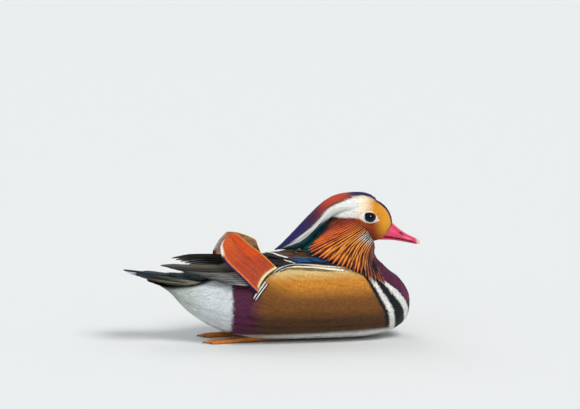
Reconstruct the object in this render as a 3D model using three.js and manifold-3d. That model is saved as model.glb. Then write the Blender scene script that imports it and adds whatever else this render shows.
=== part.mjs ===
// A mandarin duck drake, life size, at rest on its belly with the feet tucked under it.
// Millimetres. +X is the way the bill points, +Y the bird's left, +Z up, and z = 0 is the floor.
import * as THREE from "three";
import { mergeVertices } from "three/addons/utils/BufferGeometryUtils.js";
import Module from "manifold-3d";

const wasm = await Module();
wasm.setup();

// Driving dimensions
const GAP = 0.3; // between neighbouring pieces
const RIGHT = -1;
const LEFT = 1;
const AHEAD = 1.65; // moves the whole bird so that the middle of its length is at x = 0

// Each station of a form is a top point and a bottom point in the middle plane, a half width, and
// the share of the height at which the form is widest.
const TORSO = {
  stations: [
    { top: [152.4, 40], bottom: [152.4, 33], half: 6, waist: 0.5 },
    { top: [148.5, 53.5], bottom: [146, 17], half: 25, waist: 0.45 },
    { top: [134.5, 71.5], bottom: [128, 5.5], half: 42, waist: 0.42 },
    { top: [104, 86], bottom: [98, -0.5], half: 54, waist: 0.42 },
    { top: [60, 89], bottom: [58, -1], half: 59.5, waist: 0.42 },
    { top: [15, 90], bottom: [15, -1], half: 60, waist: 0.42 },
    { top: [-30, 85], bottom: [-28, 1.5], half: 55.5, waist: 0.43 },
    { top: [-66, 75], bottom: [-66, 12], half: 45, waist: 0.46 },
    { top: [-98, 66.5], bottom: [-96, 31], half: 31, waist: 0.5 },
    { top: [-124, 66], bottom: [-117, 53], half: 19, waist: 0.55 },
    { top: [-142, 70.5], bottom: [-139, 67.5], half: 10, waist: 0.6 },
  ],
  upper: 2.9,
  lower: 2.3,
  steps: 22,
  sides: 24,
  ends: [0.6, 2],
};

const NECK = {
  stations: [
    { top: [66, 140], bottom: [108, 112], half: 16, waist: 0.5 },
    { top: [54, 124], bottom: [110.4, 102.5], half: 20, waist: 0.5 },
    { top: [41, 109], bottom: [111.6, 95], half: 25, waist: 0.5 },
    { top: [28, 97.5], bottom: [116, 87], half: 31, waist: 0.5 },
    { top: [20, 88], bottom: [127, 77], half: 37, waist: 0.5 },
    { top: [22, 72], bottom: [128, 62], half: 37, waist: 0.5 },
  ],
  upper: 2.2,
  lower: 2.1,
  steps: 12,
  sides: 22,
  ends: [0.1, 0.1],
};

const HEAD = {
  stations: [
    { top: [133.6, 125], bottom: [121.5, 108.3], half: 8.4, waist: 0.45 },
    { top: [131.4, 135], bottom: [117.5, 106], half: 12.4, waist: 0.42 },
    { top: [124, 146.2], bottom: [109.5, 105], half: 16.8, waist: 0.4 },
    { top: [110, 154], bottom: [98, 105.5], half: 19.4, waist: 0.4 },
    { top: [92, 156.5], bottom: [84, 110], half: 19.8, waist: 0.4 },
    { top: [74, 153], bottom: [70.5, 119], half: 17, waist: 0.45 },
    { top: [62, 144], bottom: [60.5, 130], half: 10.5, waist: 0.5 },
  ],
  upper: 2,
  lower: 2.4,
  steps: 13,
  sides: 20,
  ends: [0.3, 2.5],
};

const CREST = {
  stations: [
    { top: [119, 152.5], bottom: [117, 145], half: 6, waist: 0.3 },
    { top: [102, 159.4], bottom: [99, 140], half: 13, waist: 0.3 },
    { top: [83, 160.2], bottom: [81, 138], half: 16.5, waist: 0.3 },
    { top: [65, 156.5], bottom: [64, 133.5], half: 17, waist: 0.4 },
    { top: [50, 146.8], bottom: [51.5, 121], half: 16.2, waist: 0.42 },
    { top: [36, 134], bottom: [42, 107.5], half: 14.5, waist: 0.45 },
    { top: [22, 119.8], bottom: [29.5, 98.5], half: 11.5, waist: 0.45 },
    { top: [9, 106.9], bottom: [13, 97.5], half: 7.5, waist: 0.45 },
    { top: [-1.5, 98.8], bottom: [-1, 97], half: 2.2, waist: 0.5 },
  ],
  upper: 1.8,
  lower: 2.4,
  steps: 8,
  sides: 10,
  ends: [2, 5],
  core: 0.5, // how far along its length the core reaches
  coreDeep: 1.6, // how far under the outline the core lies
};

// Tiers of crest feathers: how many, where they start and end along the crest, the angle between
// neighbours, their depth under the outline and their width.
const CREST_TIERS = [
  { count: 7, from: 0.08, to: 0.62, apart: 21, root: 2.4, deep: 0.5, wide: 6.6, steps: 4 },
  { count: 5, from: 0.4, to: 0.82, apart: 46, root: 3, deep: 2.2, wide: 8.2, steps: 4 },
  { count: 6, from: 0.43, to: 0.99, apart: 50, root: 5, deep: 4.2, wide: 7.4, steps: 4 },
];

const UPPER_BILL = {
  stations: [
    { top: [130, 127.6], bottom: [117, 110.8], half: 8.6, waist: 0.2 },
    { top: [138.4, 119.9], bottom: [130, 109.4], half: 8, waist: 0.2 },
    { top: [147.4, 113.4], bottom: [142, 107.2], half: 6.9, waist: 0.2 },
    { top: [157, 108.3], bottom: [153, 104.5], half: 6.6, waist: 0.25 },
    { top: [163, 104.4], bottom: [162.4, 100.8], half: 3.4, waist: 0.4 },
  ],
  upper: 2.1,
  lower: 3,
  steps: 11,
  sides: 16,
  ends: [0.1, 0.7],
};

const LOWER_BILL = {
  stations: [
    { top: [116, 110.5], bottom: [114, 106.8], half: 7.4, waist: 0.8 },
    { top: [130, 109.1], bottom: [129.4, 106.4], half: 7, waist: 0.8 },
    { top: [142, 106.9], bottom: [141.6, 104.5], half: 6, waist: 0.8 },
    { top: [153, 104.2], bottom: [152.8, 102.2], half: 5.6, waist: 0.8 },
    { top: [159.6, 101.9], bottom: [159.5, 100.7], half: 3, waist: 0.7 },
  ],
  upper: 3,
  lower: 2.2,
  steps: 9,
  sides: 12,
  ends: [0.1, 0.4],
};

const NOSTRIL = { x: 141.5, z: 113.8, long: 2.6, tall: 1, deep: 3 };
const NAIL = { x: 159.8, z: 105.8, long: 4, half: 2.4, tall: 1.5 };
const EYE = { x: 104.4, z: 134.4, radius: 7, depth: 4.5, lid: 0.8, lidLong: 6.2, lidTall: 4.9 };

// Where the ruff's hackles start, turn and end on one side: x, distance from the middle, z.
const RUFF = {
  root: [[86, 20.5, 133], [93, 21.3, 127], [101, 20, 119.5], [107, 15.5, 111], [110.5, 10, 103.5]],
  middle: [[70, 21, 129.5], [66, 25.5, 114], [80, 29.5, 104], [96, 28, 95.5], [108.5, 18.5, 87.5]],
  tip: [[53, 22.5, 121], [31, 29, 98.5], [62, 43.5, 83.5], [90, 46.5, 71.5], [118, 36, 60.5]],
  overFlank: 3.6, // how far out the hackles keep from the body
  overBreast: 1.4,
  core: 0.42, // how far towards the tips the core reaches
  thick: 2.2,
};
const RUFF_TIERS = [
  { count: 7, from: 0.02, to: 0.6, lift: 3, wide: 7.2, thick: 1.2 },
  { count: 8, from: 0.18, to: 0.82, lift: 1.5, wide: 8.4, thick: 1.2 },
  { count: 9, from: 0.33, to: 1.01, lift: 0, wide: 10.4, thick: 1.2 },
];

// The sail that stands on each wing: its rear and front edges, how far out it stands at five
// heights from low to high, and how far its front web folds in. The left one stands more open.
const SAIL = {
  [RIGHT]: {
    rear: [[-28, 58.5], [-46, 77], [-61.5, 93], [-65, 106], [-61, 115]],
    front: [[-4.5, 84.5], [-20.5, 99.7], [-32, 108.5], [-43, 118], [-51, 120.5]],
    fold: 8,
  },
  [LEFT]: {
    rear: [[-28, 58], [-46, 74], [-60.5, 88], [-57, 102], [-51, 112.5]],
    front: [[-4.5, 84.5], [-11, 97], [-15.5, 105.5], [-29, 112], [-44, 116.5]],
    fold: 3,
  },
  out: [57.6, 55, 47, 37, 28],
  from: 57,
  to: 122,
  crease: 3, // the column of its grid along which it folds
  thick: 1.2,
};

const SCAPULARS = [
  { count: 4, x: [30, 22], y: [11.5, 33], reach: [54, 48], wide: 9, lift: [2.6, 3.6] },
  { count: 4, x: [54, 48], y: [8, 29], reach: [44, 38], wide: 8.8, lift: [3.4, 5] },
];
const TERTIALS = { count: 3, x: [-8, -6], y: [17, 32], reach: [62, 54], wide: 9, lift: [2.2, 3.4] };
const WING_PLATE = { x: [58, -28], y: [5, 37], thick: 1.7 };

// The flight feathers of each folded wing, from the longest at the top to the shortest below. The
// left wing's tips lie higher and further in.
const PRIMARIES = {
  count: 7,
  [RIGHT]: {
    root: [[-26, 41.5, 85.5], [-33, 54, 68]],
    turn: [[-78, 28, 84], [-53, 46.5, 71.5]],
    tip: [[-127, 8, 85.3], [-70, 37.5, 75]],
  },
  [LEFT]: {
    root: [[-26, 41.5, 85.5], [-33, 54, 68]],
    turn: [[-84, 20.5, 91], [-53, 46.5, 71.5]],
    tip: [[-113, 3, 91.5], [-70, 37.5, 75]],
  },
  wide: [9.5, 8],
  thick: 0.75,
  step: 0.55, // how far each stands out over the next below at its tip
};

const RECTRICES = {
  perSide: 7,
  root: { x: -82, y: 9, z: 70.5 },
  tip: { x: -167, y: 29.5, z: 81 },
  trim: 22, // how much shorter the outermost are
  wide: 11.5,
  thick: 0.75,
  step: 1.1,
};
const TAIL_CORE = [
  { x: -54, half: 15, tall: 4 },
  { x: -68, half: 14, tall: 5 },
  { x: -82, half: 13, tall: 9.6 },
  { x: -94, half: 11.5, tall: 9.6 },
  { x: -104, half: 9, tall: 7 },
];
const TAIL_COVERTS = [
  { count: 5, x: -72, reach: 46, half: 12.5, wide: 8.5, lift: 1.4 },
  { count: 4, x: -57, reach: 38, half: 11.5, wide: 9, lift: 3.6 },
];

const FLANK = {
  top: [[105, 59], [88, 70], [58, 81], [16, 84], [-5, 79.5], [-18, 68], [-28, 56]],
  bottom: [[100, 29], [72, 23], [42, 21], [10, 22], [-14, 25], [-36, 35]],
  thick: 2.6,
  fringe: { count: 10, long: 24, wide: 9.5 },
};

const LEG = { shank: [[8, 21, 5], [-14, 22, 5], [-34, 22.5, 3.4]], radius: [3.6, 3, 3.2], web: 46, spread: 15 };

// Width profiles of feathers from root to tip
const ROUNDED = [0.55, 0.85, 1, 1, 0.86, 0.34];
const POINTED = [0.6, 0.9, 1, 0.84, 0.52, 0.12];
const NARROW = [0.8, 1, 1, 0.92, 0.75, 0.3];

// Small helpers

const v3 = (x, y, z) => new THREE.Vector3(x, y, z);
const { lerp, clamp } = THREE.MathUtils;
const between = (pair, t) => lerp(pair[0], pair[1], t);
const pointBetween = (pair, t) => pair[0].map((value, i) => lerp(value, pair[1][i], t));

// An even draw between -1 and 1 that is the same on every run.
let seed = 20231;
function vary() {
  seed = (seed * 16807) % 2147483647;
  return (2 * seed) / 2147483647 - 1;
}

// Makes something again with the same draws as its first making.
function again(start, make) {
  seed = start;
  return make();
}

function sample(list, t) {
  const k = clamp(t, 0, 1) * (list.length - 1);
  return lerp(list[Math.floor(k)], list[Math.ceil(k)], k % 1);
}

const curveOf = (list) => new THREE.CatmullRomCurve3(list.map((p) => v3(...p)), false, "catmullrom", 0.5);
const sideCurve = (list, side) => curveOf(list.map(([x, y, z]) => [x, side * y, z]));
const planeCurve = (list) => new THREE.SplineCurve(list.map(([x, z]) => new THREE.Vector2(x, z)));

// Closed solids

// A three.js geometry as a solid whose faces point out.
function solidOf(geometry) {
  const bare = geometry.index ? geometry.toNonIndexed() : geometry.clone();
  bare.deleteAttribute("normal");
  bare.deleteAttribute("uv");
  const merged = mergeVertices(bare, 1e-4);
  const vertProperties = new Float32Array(merged.attributes.position.array);
  const triVerts = new Uint32Array(merged.index.array);
  const made = new wasm.Manifold(new wasm.Mesh({ numProp: 3, vertProperties, triVerts }));
  if (made.volume() > 0) return made;
  for (let i = 0; i < triVerts.length; i += 3) {
    [triVerts[i + 1], triVerts[i + 2]] = [triVerts[i + 2], triVerts[i + 1]];
  }
  return new wasm.Manifold(new wasm.Mesh({ numProp: 3, vertProperties, triVerts }));
}

// A solid's surface as a three.js geometry.
function geometryOf(solid) {
  const mesh = solid.getMesh();
  const places = new Float32Array(mesh.numVert * 3);
  for (let i = 0; i < mesh.numVert; i++) {
    places.set(mesh.vertProperties.subarray(i * mesh.numProp, i * mesh.numProp + 3), i * 3);
  }
  const geometry = new THREE.BufferGeometry();
  geometry.setAttribute("position", new THREE.BufferAttribute(places, 3));
  geometry.setIndex(new THREE.BufferAttribute(new Uint32Array(mesh.triVerts), 1));
  return geometry;
}

function geometryFrom(places, faces) {
  const geometry = new THREE.BufferGeometry();
  const numbers = places.flatMap((p) => [p.x, p.y, p.z]);
  geometry.setAttribute("position", new THREE.Float32BufferAttribute(numbers, 3));
  geometry.setIndex(faces.flat());
  return geometry;
}

// Rings of equal length joined into one closed surface, with a point past each end.
function loft(rings, first, last) {
  const sides = rings[0].length;
  const places = [first, ...rings.flat(), last];
  const faces = [];
  const at = (ring, side) => 1 + ring * sides + (side % sides);
  for (let side = 0; side < sides; side++) {
    faces.push([0, at(0, side + 1), at(0, side)]);
    faces.push([places.length - 1, at(rings.length - 1, side), at(rings.length - 1, side + 1)]);
    for (let ring = 0; ring + 1 < rings.length; ring++) {
      faces.push([at(ring, side), at(ring, side + 1), at(ring + 1, side + 1)]);
      faces.push([at(ring, side), at(ring + 1, side + 1), at(ring + 1, side)]);
    }
  }
  return solidOf(geometryFrom(places, faces));
}

// The two rails of a form, with the half width and the waist as their third numbers.
function railsOf(spec) {
  const top = spec.stations.map((s) => [s.top[0], s.top[1], s.half]);
  const bottom = spec.stations.map((s) => [s.bottom[0], s.bottom[1], s.waist]);
  return { top: curveOf(top), bottom: curveOf(bottom) };
}

// A place on a form's surface: t runs from its first station to its last, and the angle goes
// round it from 0 on the left by 90 degrees at the top.
function placeOn(spec, rails, t, angle, grow = 0) {
  const a = rails.top.getPoint(t);
  const b = rails.bottom.getPoint(t);
  const up = v3(a.x - b.x, 0, a.y - b.y);
  const tall = up.length() + 2 * grow;
  up.normalize();
  const over = Math.sin(angle) >= 0;
  const power = 2 / (over ? spec.upper : spec.lower);
  const rise = Math.abs(Math.sin(angle)) ** power;
  const height = over ? b.z + (1 - b.z) * rise : b.z * (1 - rise);
  const place = v3(b.x, 0, b.y).addScaledVector(up, height * tall - grow);
  const reach = Math.abs(Math.cos(angle)) < 1e-9 ? 0 : Math.abs(Math.cos(angle)) ** power;
  place.y = Math.sign(Math.cos(angle)) * reach * (a.z + grow);
  return place;
}

// A solid form hung between its two rails, up to a share of its length.
function form(spec, grow = 0, upTo = 1) {
  const rails = railsOf(spec);
  const rings = [];
  const middles = [];
  for (let step = 0; step <= spec.steps; step++) {
    const t = (upTo * step) / spec.steps;
    const ring = [];
    for (let side = 0; side < spec.sides; side++) {
      ring.push(placeOn(spec, rails, t, (2 * Math.PI * side) / spec.sides, grow));
    }
    rings.push(ring);
    middles.push(placeOn(spec, rails, t, Math.PI / 2, grow).lerp(placeOn(spec, rails, t, -Math.PI / 2, grow), 0.5));
  }
  const beyond = (end, inner, by) => end.clone().addScaledVector(end.clone().sub(inner).normalize(), by);
  const n = middles.length;
  const first = beyond(middles[0], middles[1], spec.ends[0] + grow);
  const last = beyond(middles[n - 1], middles[n - 2], spec.ends[1] + grow);
  return loft(rings, first, last);
}

// The next place inwards from an edge of a row, or the same place anywhere else.
function inward(i, count) {
  if (i === 0) return 1;
  return i === count - 1 ? count - 2 : i;
}

// How far a grid's spot at one edge moves out, away from its neighbour within, to make room.
function outwards(spot, neighbour, by) {
  if (spot === neighbour) return v3(0, 0, 0);
  return spot.point.clone().sub(neighbour.point).setLength(by);
}

// A sheet through a grid of spots, each with its own thickness, with both faces split alike.
function sheet(grid, grow = 0) {
  const rows = grid.length;
  const columns = grid[0].length;
  const places = [];
  for (const side of [1, -1]) {
    for (let i = 0; i < rows; i++) {
      for (let j = 0; j < columns; j++) {
        const spot = grid[i][j];
        const place = spot.point.clone().addScaledVector(spot.normal, side * (spot.thick / 2 + grow));
        place.add(outwards(spot, grid[inward(i, rows)][j], grow));
        place.add(outwards(spot, grid[i][inward(j, columns)], grow));
        places.push(place);
      }
    }
  }
  const over = (i, j) => i * columns + j;
  const under = (i, j) => rows * columns + i * columns + j;
  const faces = [];
  for (let i = 0; i + 1 < rows; i++) {
    for (let j = 0; j + 1 < columns; j++) {
      faces.push([over(i, j), over(i + 1, j), over(i + 1, j + 1)]);
      faces.push([over(i, j), over(i + 1, j + 1), over(i, j + 1)]);
      faces.push([under(i, j), under(i + 1, j + 1), under(i + 1, j)]);
      faces.push([under(i, j), under(i, j + 1), under(i + 1, j + 1)]);
    }
  }
  const wall = (a, b, c, d) => faces.push([a, b, c], [a, c, d]);
  const edge = columns - 1;
  for (let i = 0; i + 1 < rows; i++) {
    wall(over(i + 1, 0), over(i, 0), under(i, 0), under(i + 1, 0));
    wall(over(i, edge), over(i + 1, edge), under(i + 1, edge), under(i, edge));
  }
  for (let j = 0; j + 1 < columns; j++) {
    wall(over(0, j), over(0, j + 1), under(0, j + 1), under(0, j));
    wall(over(rows - 1, j + 1), over(rows - 1, j), under(rows - 1, j), under(rows - 1, j + 1));
  }
  return solidOf(geometryFrom(places, faces));
}

// Gives each spot of a grid the way out of the surface there.
function facing(grid, outward) {
  const last = grid.length - 1;
  return grid.map((row, i) =>
    row.map((spot, j) => {
      const along = grid[Math.min(i + 1, last)][j].point.clone().sub(grid[Math.max(i - 1, 0)][j].point);
      const across = row[Math.min(j + 1, row.length - 1)].point.clone().sub(row[Math.max(j - 1, 0)].point);
      const normal = along.cross(across).normalize();
      if (normal.dot(outward(spot.point)) < 0) normal.negate();
      return { ...spot, normal };
    }),
  );
}

// The directions along and across a path at one of its spots.
function frameAt(path, i) {
  const next = path[Math.min(i + 1, path.length - 1)].point;
  const way = next.clone().sub(path[Math.max(i - 1, 0)].point).normalize();
  return { way, across: way.clone().cross(path[i].normal).normalize() };
}

// A flat feather along a path, thinner at its tip.
function vane(path, shape, grow = 0) {
  const grid = path.map((spot, i) => {
    const t = i / (path.length - 1);
    const { across } = frameAt(path, i);
    const half = (shape.wide / 2) * sample(shape.profile, t);
    const thick = lerp(shape.thick, Math.max(0.5, 0.65 * shape.thick), t);
    return [-1, 1].map((k) => ({ point: spot.point.clone().addScaledVector(across, k * half), normal: spot.normal, thick }));
  });
  return sheet(grid, grow);
}

// A tapered lock of hackle along a path: flat below, ridged above, and pointed.
function lock(path, shape, grow = 0) {
  const rings = path.slice(0, -1).map((spot, i) => {
    const t = i / (path.length - 1);
    const { across } = frameAt(path, i);
    const half = (shape.wide / 2) * sample(POINTED, t) + grow;
    const thick = shape.thick * (1 - 0.45 * t) + 2 * grow;
    const at = (k, out) => spot.point.clone().addScaledVector(across, k * half).addScaledVector(spot.normal, out);
    return [at(-1, -thick * 0.3), at(0, thick * 0.7), at(1, -thick * 0.3)];
  });
  const start = path[0].point.clone().addScaledVector(frameAt(path, 0).way, -0.2 - grow);
  const end = path[path.length - 1].point.clone().addScaledVector(frameAt(path, path.length - 1).way, grow);
  return loft(rings, start, end);
}

// A round bar along a line, thicker or thinner along its way.
function bar(points, radii, sides, grow = 0) {
  const line = curveOf(points);
  const steps = (points.length - 1) * 2;
  const rings = [];
  for (let step = 0; step <= steps; step++) {
    const t = step / steps;
    const way = line.getTangent(t);
    const across = v3(0, 0, 1).cross(way).normalize();
    const over = way.clone().cross(across);
    const radius = sample(radii, t) + grow;
    const ring = [];
    for (let side = 0; side < sides; side++) {
      const angle = (2 * Math.PI * side) / sides;
      const place = line.getPoint(t).addScaledVector(across, radius * Math.cos(angle));
      ring.push(place.addScaledVector(over, radius * Math.sin(angle)));
    }
    rings.push(ring);
  }
  const start = line.getPoint(0).addScaledVector(line.getTangent(0), -radii[0] * 0.5 - grow);
  const end = line.getPoint(1).addScaledVector(line.getTangent(1), radii[radii.length - 1] * 0.8 + grow);
  return loft(rings, start, end);
}

function box(low, high) {
  const geometry = new THREE.BoxGeometry(...high.map((value, i) => value - low[i]));
  geometry.translate(...high.map((value, i) => (value + low[i]) / 2));
  return solidOf(geometry);
}

const join = (pieces) => wasm.Manifold.union(pieces);

// What is left of a solid once others have their room: its largest closed surface, so that no
// loose scrap or sealed hollow stays.
function fit(solid, rooms) {
  const rest = rooms.reduce((whole, room) => whole.subtract(room), solid);
  return rest.decompose().reduce((best, body) => (body.volume() > best.volume() ? body : best));
}

// Places on what is already built

const caster = new THREE.Raycaster();

function groundOf(solid) {
  const mesh = new THREE.Mesh(geometryOf(solid), new THREE.MeshBasicMaterial({ side: THREE.DoubleSide }));
  mesh.updateMatrixWorld();
  return mesh;
}

// The first place that a ray meets on a ground.
function spotOn(ground, from, towards) {
  caster.set(from, towards.clone().sub(from).normalize());
  const hit = caster.intersectObject(ground, false)[0];
  return { point: hit.point.clone(), normal: hit.face.normal.clone() };
}

const sideSpot = (ground, side, x, z) => spotOn(ground, v3(x, side * 200, z), v3(x, 0, z));
const topSpot = (ground, x, y) => spotOn(ground, v3(x, y, 300), v3(x, y, 0));

// Moves a place on one side out until it is clear of the body and its flank feathers.
function keepOff(point, side) {
  caster.set(v3(point.x, side * 200, point.z), v3(0, -side, 0));
  const hit = caster.intersectObject(torsoGround, false)[0];
  if (!hit) return;
  const least = Math.abs(hit.point.y) + (point.x < 108 ? RUFF.overFlank : RUFF.overBreast);
  if (Math.abs(point.y) < least) point.y = side * least;
}

// A path of four spots laid on a ground, rooted at one height over it and rising towards its end.
function laidPath(spotAt, from, to, root, lift) {
  const path = [];
  for (let i = 0; i <= 3; i++) {
    const spot = spotAt(lerp(from[0], to[0], i / 3), lerp(from[1], to[1], i / 3));
    spot.point.addScaledVector(spot.normal, i === 0 ? root : between(lift, i / 3));
    path.push(spot);
  }
  return path;
}

const floorCut = box([-250, -150, -40], [250, 150, 0]);
const torsoGround = groundOf(form(TORSO));
const headGround = groundOf(form(HEAD));

// Head

function eyePlace(side) {
  const spot = sideSpot(headGround, side, EYE.x, EYE.z);
  return { ...spot, middle: spot.point.clone().addScaledVector(spot.normal, -EYE.depth) };
}

function eyeball(side, grow = 0) {
  const { middle } = eyePlace(side);
  const ball = new THREE.SphereGeometry(EYE.radius + grow, 12, 8);
  ball.translate(middle.x, middle.y, middle.z);
  return solidOf(ball);
}

// The raised rim of both lids, lying on the head round the eye.
function lids(side) {
  const { point, normal } = eyePlace(side);
  const rim = new THREE.TorusGeometry(1, EYE.lid / EYE.lidLong, 4, 14);
  rim.scale(EYE.lidLong, EYE.lidTall, EYE.lidLong);
  rim.applyQuaternion(new THREE.Quaternion().setFromUnitVectors(v3(0, 0, 1), normal));
  rim.translate(point.x, point.y, point.z);
  return solidOf(rim);
}

const head = () => join([form(HEAD), lids(RIGHT), lids(LEFT)]);

// The crest: a core over the crown and nape, and tiers of long feathers that lie back over it.
function crest(grow = 0) {
  const rails = railsOf(CREST);
  const pieces = [form(CREST, grow - CREST.coreDeep, CREST.core)];
  const spotAt = (t, angle, deep) => {
    const point = placeOn(CREST, rails, t, angle, -deep);
    const along = placeOn(CREST, rails, t + 0.01, angle, -deep).sub(placeOn(CREST, rails, t - 0.01, angle, -deep));
    const round = placeOn(CREST, rails, t, angle + 0.02, -deep).sub(placeOn(CREST, rails, t, angle - 0.02, -deep));
    const normal = along.cross(round).normalize();
    return { point, normal: normal.dot(point.clone().sub(middleOf(rails, t))) < 0 ? normal.negate() : normal };
  };
  for (const tier of CREST_TIERS) {
    for (let k = 0; k < tier.count; k++) {
      const angle = THREE.MathUtils.degToRad(90 + (k - (tier.count - 1) / 2) * tier.apart);
      const end = Math.min(0.99, tier.to + 0.02 * vary());
      const path = [];
      for (let i = 0; i <= tier.steps; i++) {
        const t = lerp(tier.from, end, i / tier.steps);
        path.push(spotAt(t, angle, i === 0 ? tier.root : tier.deep * (1 - 0.5 * t)));
      }
      pieces.push(lock(path, { wide: tier.wide, thick: 1.2 }, grow));
    }
  }
  return join(pieces);
}

function middleOf(rails, t) {
  const a = rails.top.getPoint(t);
  const b = rails.bottom.getPoint(t);
  return v3((a.x + b.x) / 2, 0, (a.y + b.y) / 2);
}

// The upper bill with its nail, before its nostrils are cut.
function upperBill(grow = 0) {
  const nail = new THREE.SphereGeometry(1, 10, 6);
  nail.scale(NAIL.long + grow, NAIL.half + grow, NAIL.tall + grow);
  nail.rotateY(0.5);
  nail.translate(NAIL.x, 0, NAIL.z);
  return join([form(UPPER_BILL, grow), solidOf(nail)]);
}

function nostril(side) {
  const slot = new THREE.SphereGeometry(1, 8, 5);
  slot.scale(NOSTRIL.long, NOSTRIL.deep, NOSTRIL.tall);
  slot.rotateY(0.45);
  slot.translate(NOSTRIL.x, side * 7.8, NOSTRIL.z);
  return solidOf(slot);
}

// The ruff on one side: a thin core on the cheek and three tiers of hackles over the neck.
function ruff(side, grow = 0) {
  const [root, middle, tip] = [RUFF.root, RUFF.middle, RUFF.tip].map((list) => sideCurve(list, side));
  const lineAt = (s) => new THREE.CatmullRomCurve3([root.getPoint(s), middle.getPoint(s), tip.getPoint(s)]);
  const outward = () => v3(0.2, side, 0.3);
  const core = [];
  for (let i = 0; i <= 6; i++) {
    const line = lineAt(i / 6);
    core.push([0, 0.5, 1].map((t) => ({ point: line.getPoint(t * RUFF.core), thick: RUFF.thick })));
  }
  const pieces = [sheet(facing(core, outward), grow)];
  for (const tier of RUFF_TIERS) {
    for (let k = 0; k < tier.count; k++) {
      const s = clamp((k + 0.15) / (tier.count - 0.7) + 0.01 * vary(), 0, 1);
      const end = Math.min(1.01, tier.to + 0.03 * vary());
      const lines = [lineAt(Math.max(0, s - 0.03)), lineAt(s), lineAt(Math.min(1, s + 0.03))];
      const grid = lines.map((line) => {
        const row = [];
        for (let i = 0; i <= 4; i++) row.push({ point: line.getPoint(Math.min(1, lerp(tier.from, end, i / 4))) });
        return row;
      });
      const path = facing(grid, outward)[1];
      path.forEach((spot, i) => spot.point.addScaledVector(spot.normal, i === 0 ? -0.3 : tier.lift));
      path.slice(1).forEach((spot) => keepOff(spot.point, side));
      pieces.push(lock(path, tier, grow));
    }
  }
  return join(pieces);
}

// Wing, sail, flank and tail

function sail(side, grow = 0) {
  const rear = planeCurve(SAIL[side].rear);
  const front = planeCurve(SAIL[side].front);
  const grid = [];
  for (let i = 0; i <= 8; i++) {
    const row = [];
    for (let j = 0; j <= 5; j++) {
      const place = rear.getPoint(i / 8).lerp(front.getPoint(i / 8), j / 5);
      const out = sample(SAIL.out, (place.y - SAIL.from) / (SAIL.to - SAIL.from));
      const fold = (SAIL[side].fold * Math.max(0, j - SAIL.crease) * Math.min(1, i / 3)) / 2;
      row.push({ point: v3(place.x, side * (out - fold), place.y), thick: SAIL.thick });
    }
    grid.push(row);
  }
  return sheet(facing(grid, () => v3(0, side, 0)), grow);
}

// A row of feathers lying back over the wing and shoulder on one side.
function backRow(side, row, grow) {
  const pieces = [];
  for (let k = 0; k < row.count; k++) {
    const t = k / (row.count - 1);
    const from = [between(row.x, t), side * between(row.y, t)];
    const to = [from[0] - between(row.reach, t) + 1.5 * vary(), from[1] + side * 2];
    const path = laidPath((x, y) => topSpot(torsoGround, x, y), from, to, 1, row.lift);
    pieces.push(vane(path, { wide: row.wide, thick: 0.8, profile: ROUNDED }, grow));
  }
  return pieces;
}

// The near part of the folded wing: its plate on the back, the scapulars and the tertials.
function wing(side, grow = 0) {
  const plate = [];
  for (let i = 0; i <= 6; i++) {
    const row = [];
    for (let j = 0; j <= 4; j++) {
      const spot = topSpot(torsoGround, between(WING_PLATE.x, i / 6), side * between(WING_PLATE.y, j / 4));
      row.push({ ...spot, thick: 2 * WING_PLATE.thick });
    }
    plate.push(row);
  }
  const rows = [...SCAPULARS, TERTIALS].flatMap((row) => backRow(side, row, grow));
  return join([sheet(plate, grow), ...rows]);
}

// The flight feathers, staggered along the folded wing's rear end, on a core at their roots.
function primaries(side, grow = 0) {
  const out = v3(0, side * 0.546, 0.838);
  const flip = ([x, y, z]) => v3(x, side * y, z);
  const { root, turn, tip } = PRIMARIES[side];
  const pieces = [];
  for (let k = 0; k < PRIMARIES.count; k++) {
    const t = k / (PRIMARIES.count - 1);
    const ends = [root, turn, tip].map((pair) => flip(pointBetween(pair, t)));
    const line = new THREE.CatmullRomCurve3(ends);
    const path = [];
    for (let i = 0; i <= 4; i++) {
      const point = line.getPoint(i / 4).addScaledVector(out, (-k * PRIMARIES.step * i) / 4);
      path.push({ point, normal: out });
    }
    const shape = { wide: between(PRIMARIES.wide, t), thick: PRIMARIES.thick, profile: NARROW };
    pieces.push(vane(path, shape, grow));
  }
  const inside = v3(0, side * 0.82, 0.57);
  const [high, low] = root;
  const core = [0, 1, 2].map((i) =>
    [0, 0.5, 1].map((t) => {
      const point = flip(pointBetween([high, low], t)).add(v3(1 - 7 * i, 0, 0)).addScaledVector(inside, -1.2);
      return { point, normal: inside, thick: 3.4 };
    }),
  );
  return join([sheet(core, grow), ...pieces]);
}

// The flank feathers' shell on the side of the body, with long feathers along its upper rear edge.
function flank(side, grow = 0) {
  const top = planeCurve(FLANK.top);
  const bottom = planeCurve(FLANK.bottom);
  const spotAt = (x, z) => sideSpot(torsoGround, side, x, z);
  const shell = [];
  for (let i = 0; i <= 9; i++) {
    const row = [];
    for (let j = 0; j <= 5; j++) {
      const place = bottom.getPoint(i / 9).lerp(top.getPoint(i / 9), (j / 5) ** 0.75);
      row.push({ ...spotAt(place.x, place.y), thick: 2 * FLANK.thick });
    }
    shell.push(row);
  }
  const { count, long, wide } = FLANK.fringe;
  const pieces = [sheet(shell, grow)];
  for (let k = 0; k < count; k++) {
    const t = k / (count - 1);
    const rear = t > 0.5;
    const base = rear ? bottom.getPoint(1).lerp(top.getPoint(1), 2 - 2 * t) : top.getPoint(0.5 + t);
    const slope = rear ? 0.12 : 0.3;
    const from = [base.x + long * 0.6, base.y - 6 - (rear ? 0 : 3)];
    const to = [base.x - long * 0.4, Math.min(base.y + long * slope * 0.4, 82)];
    const path = laidPath(spotAt, from, to, 0.8, [FLANK.thick + 0.4, FLANK.thick + 0.6 + 1.1 * (k % 2)]);
    pieces.push(vane(path, { wide, thick: 0.8, profile: ROUNDED }, grow));
  }
  return join(pieces);
}

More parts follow.
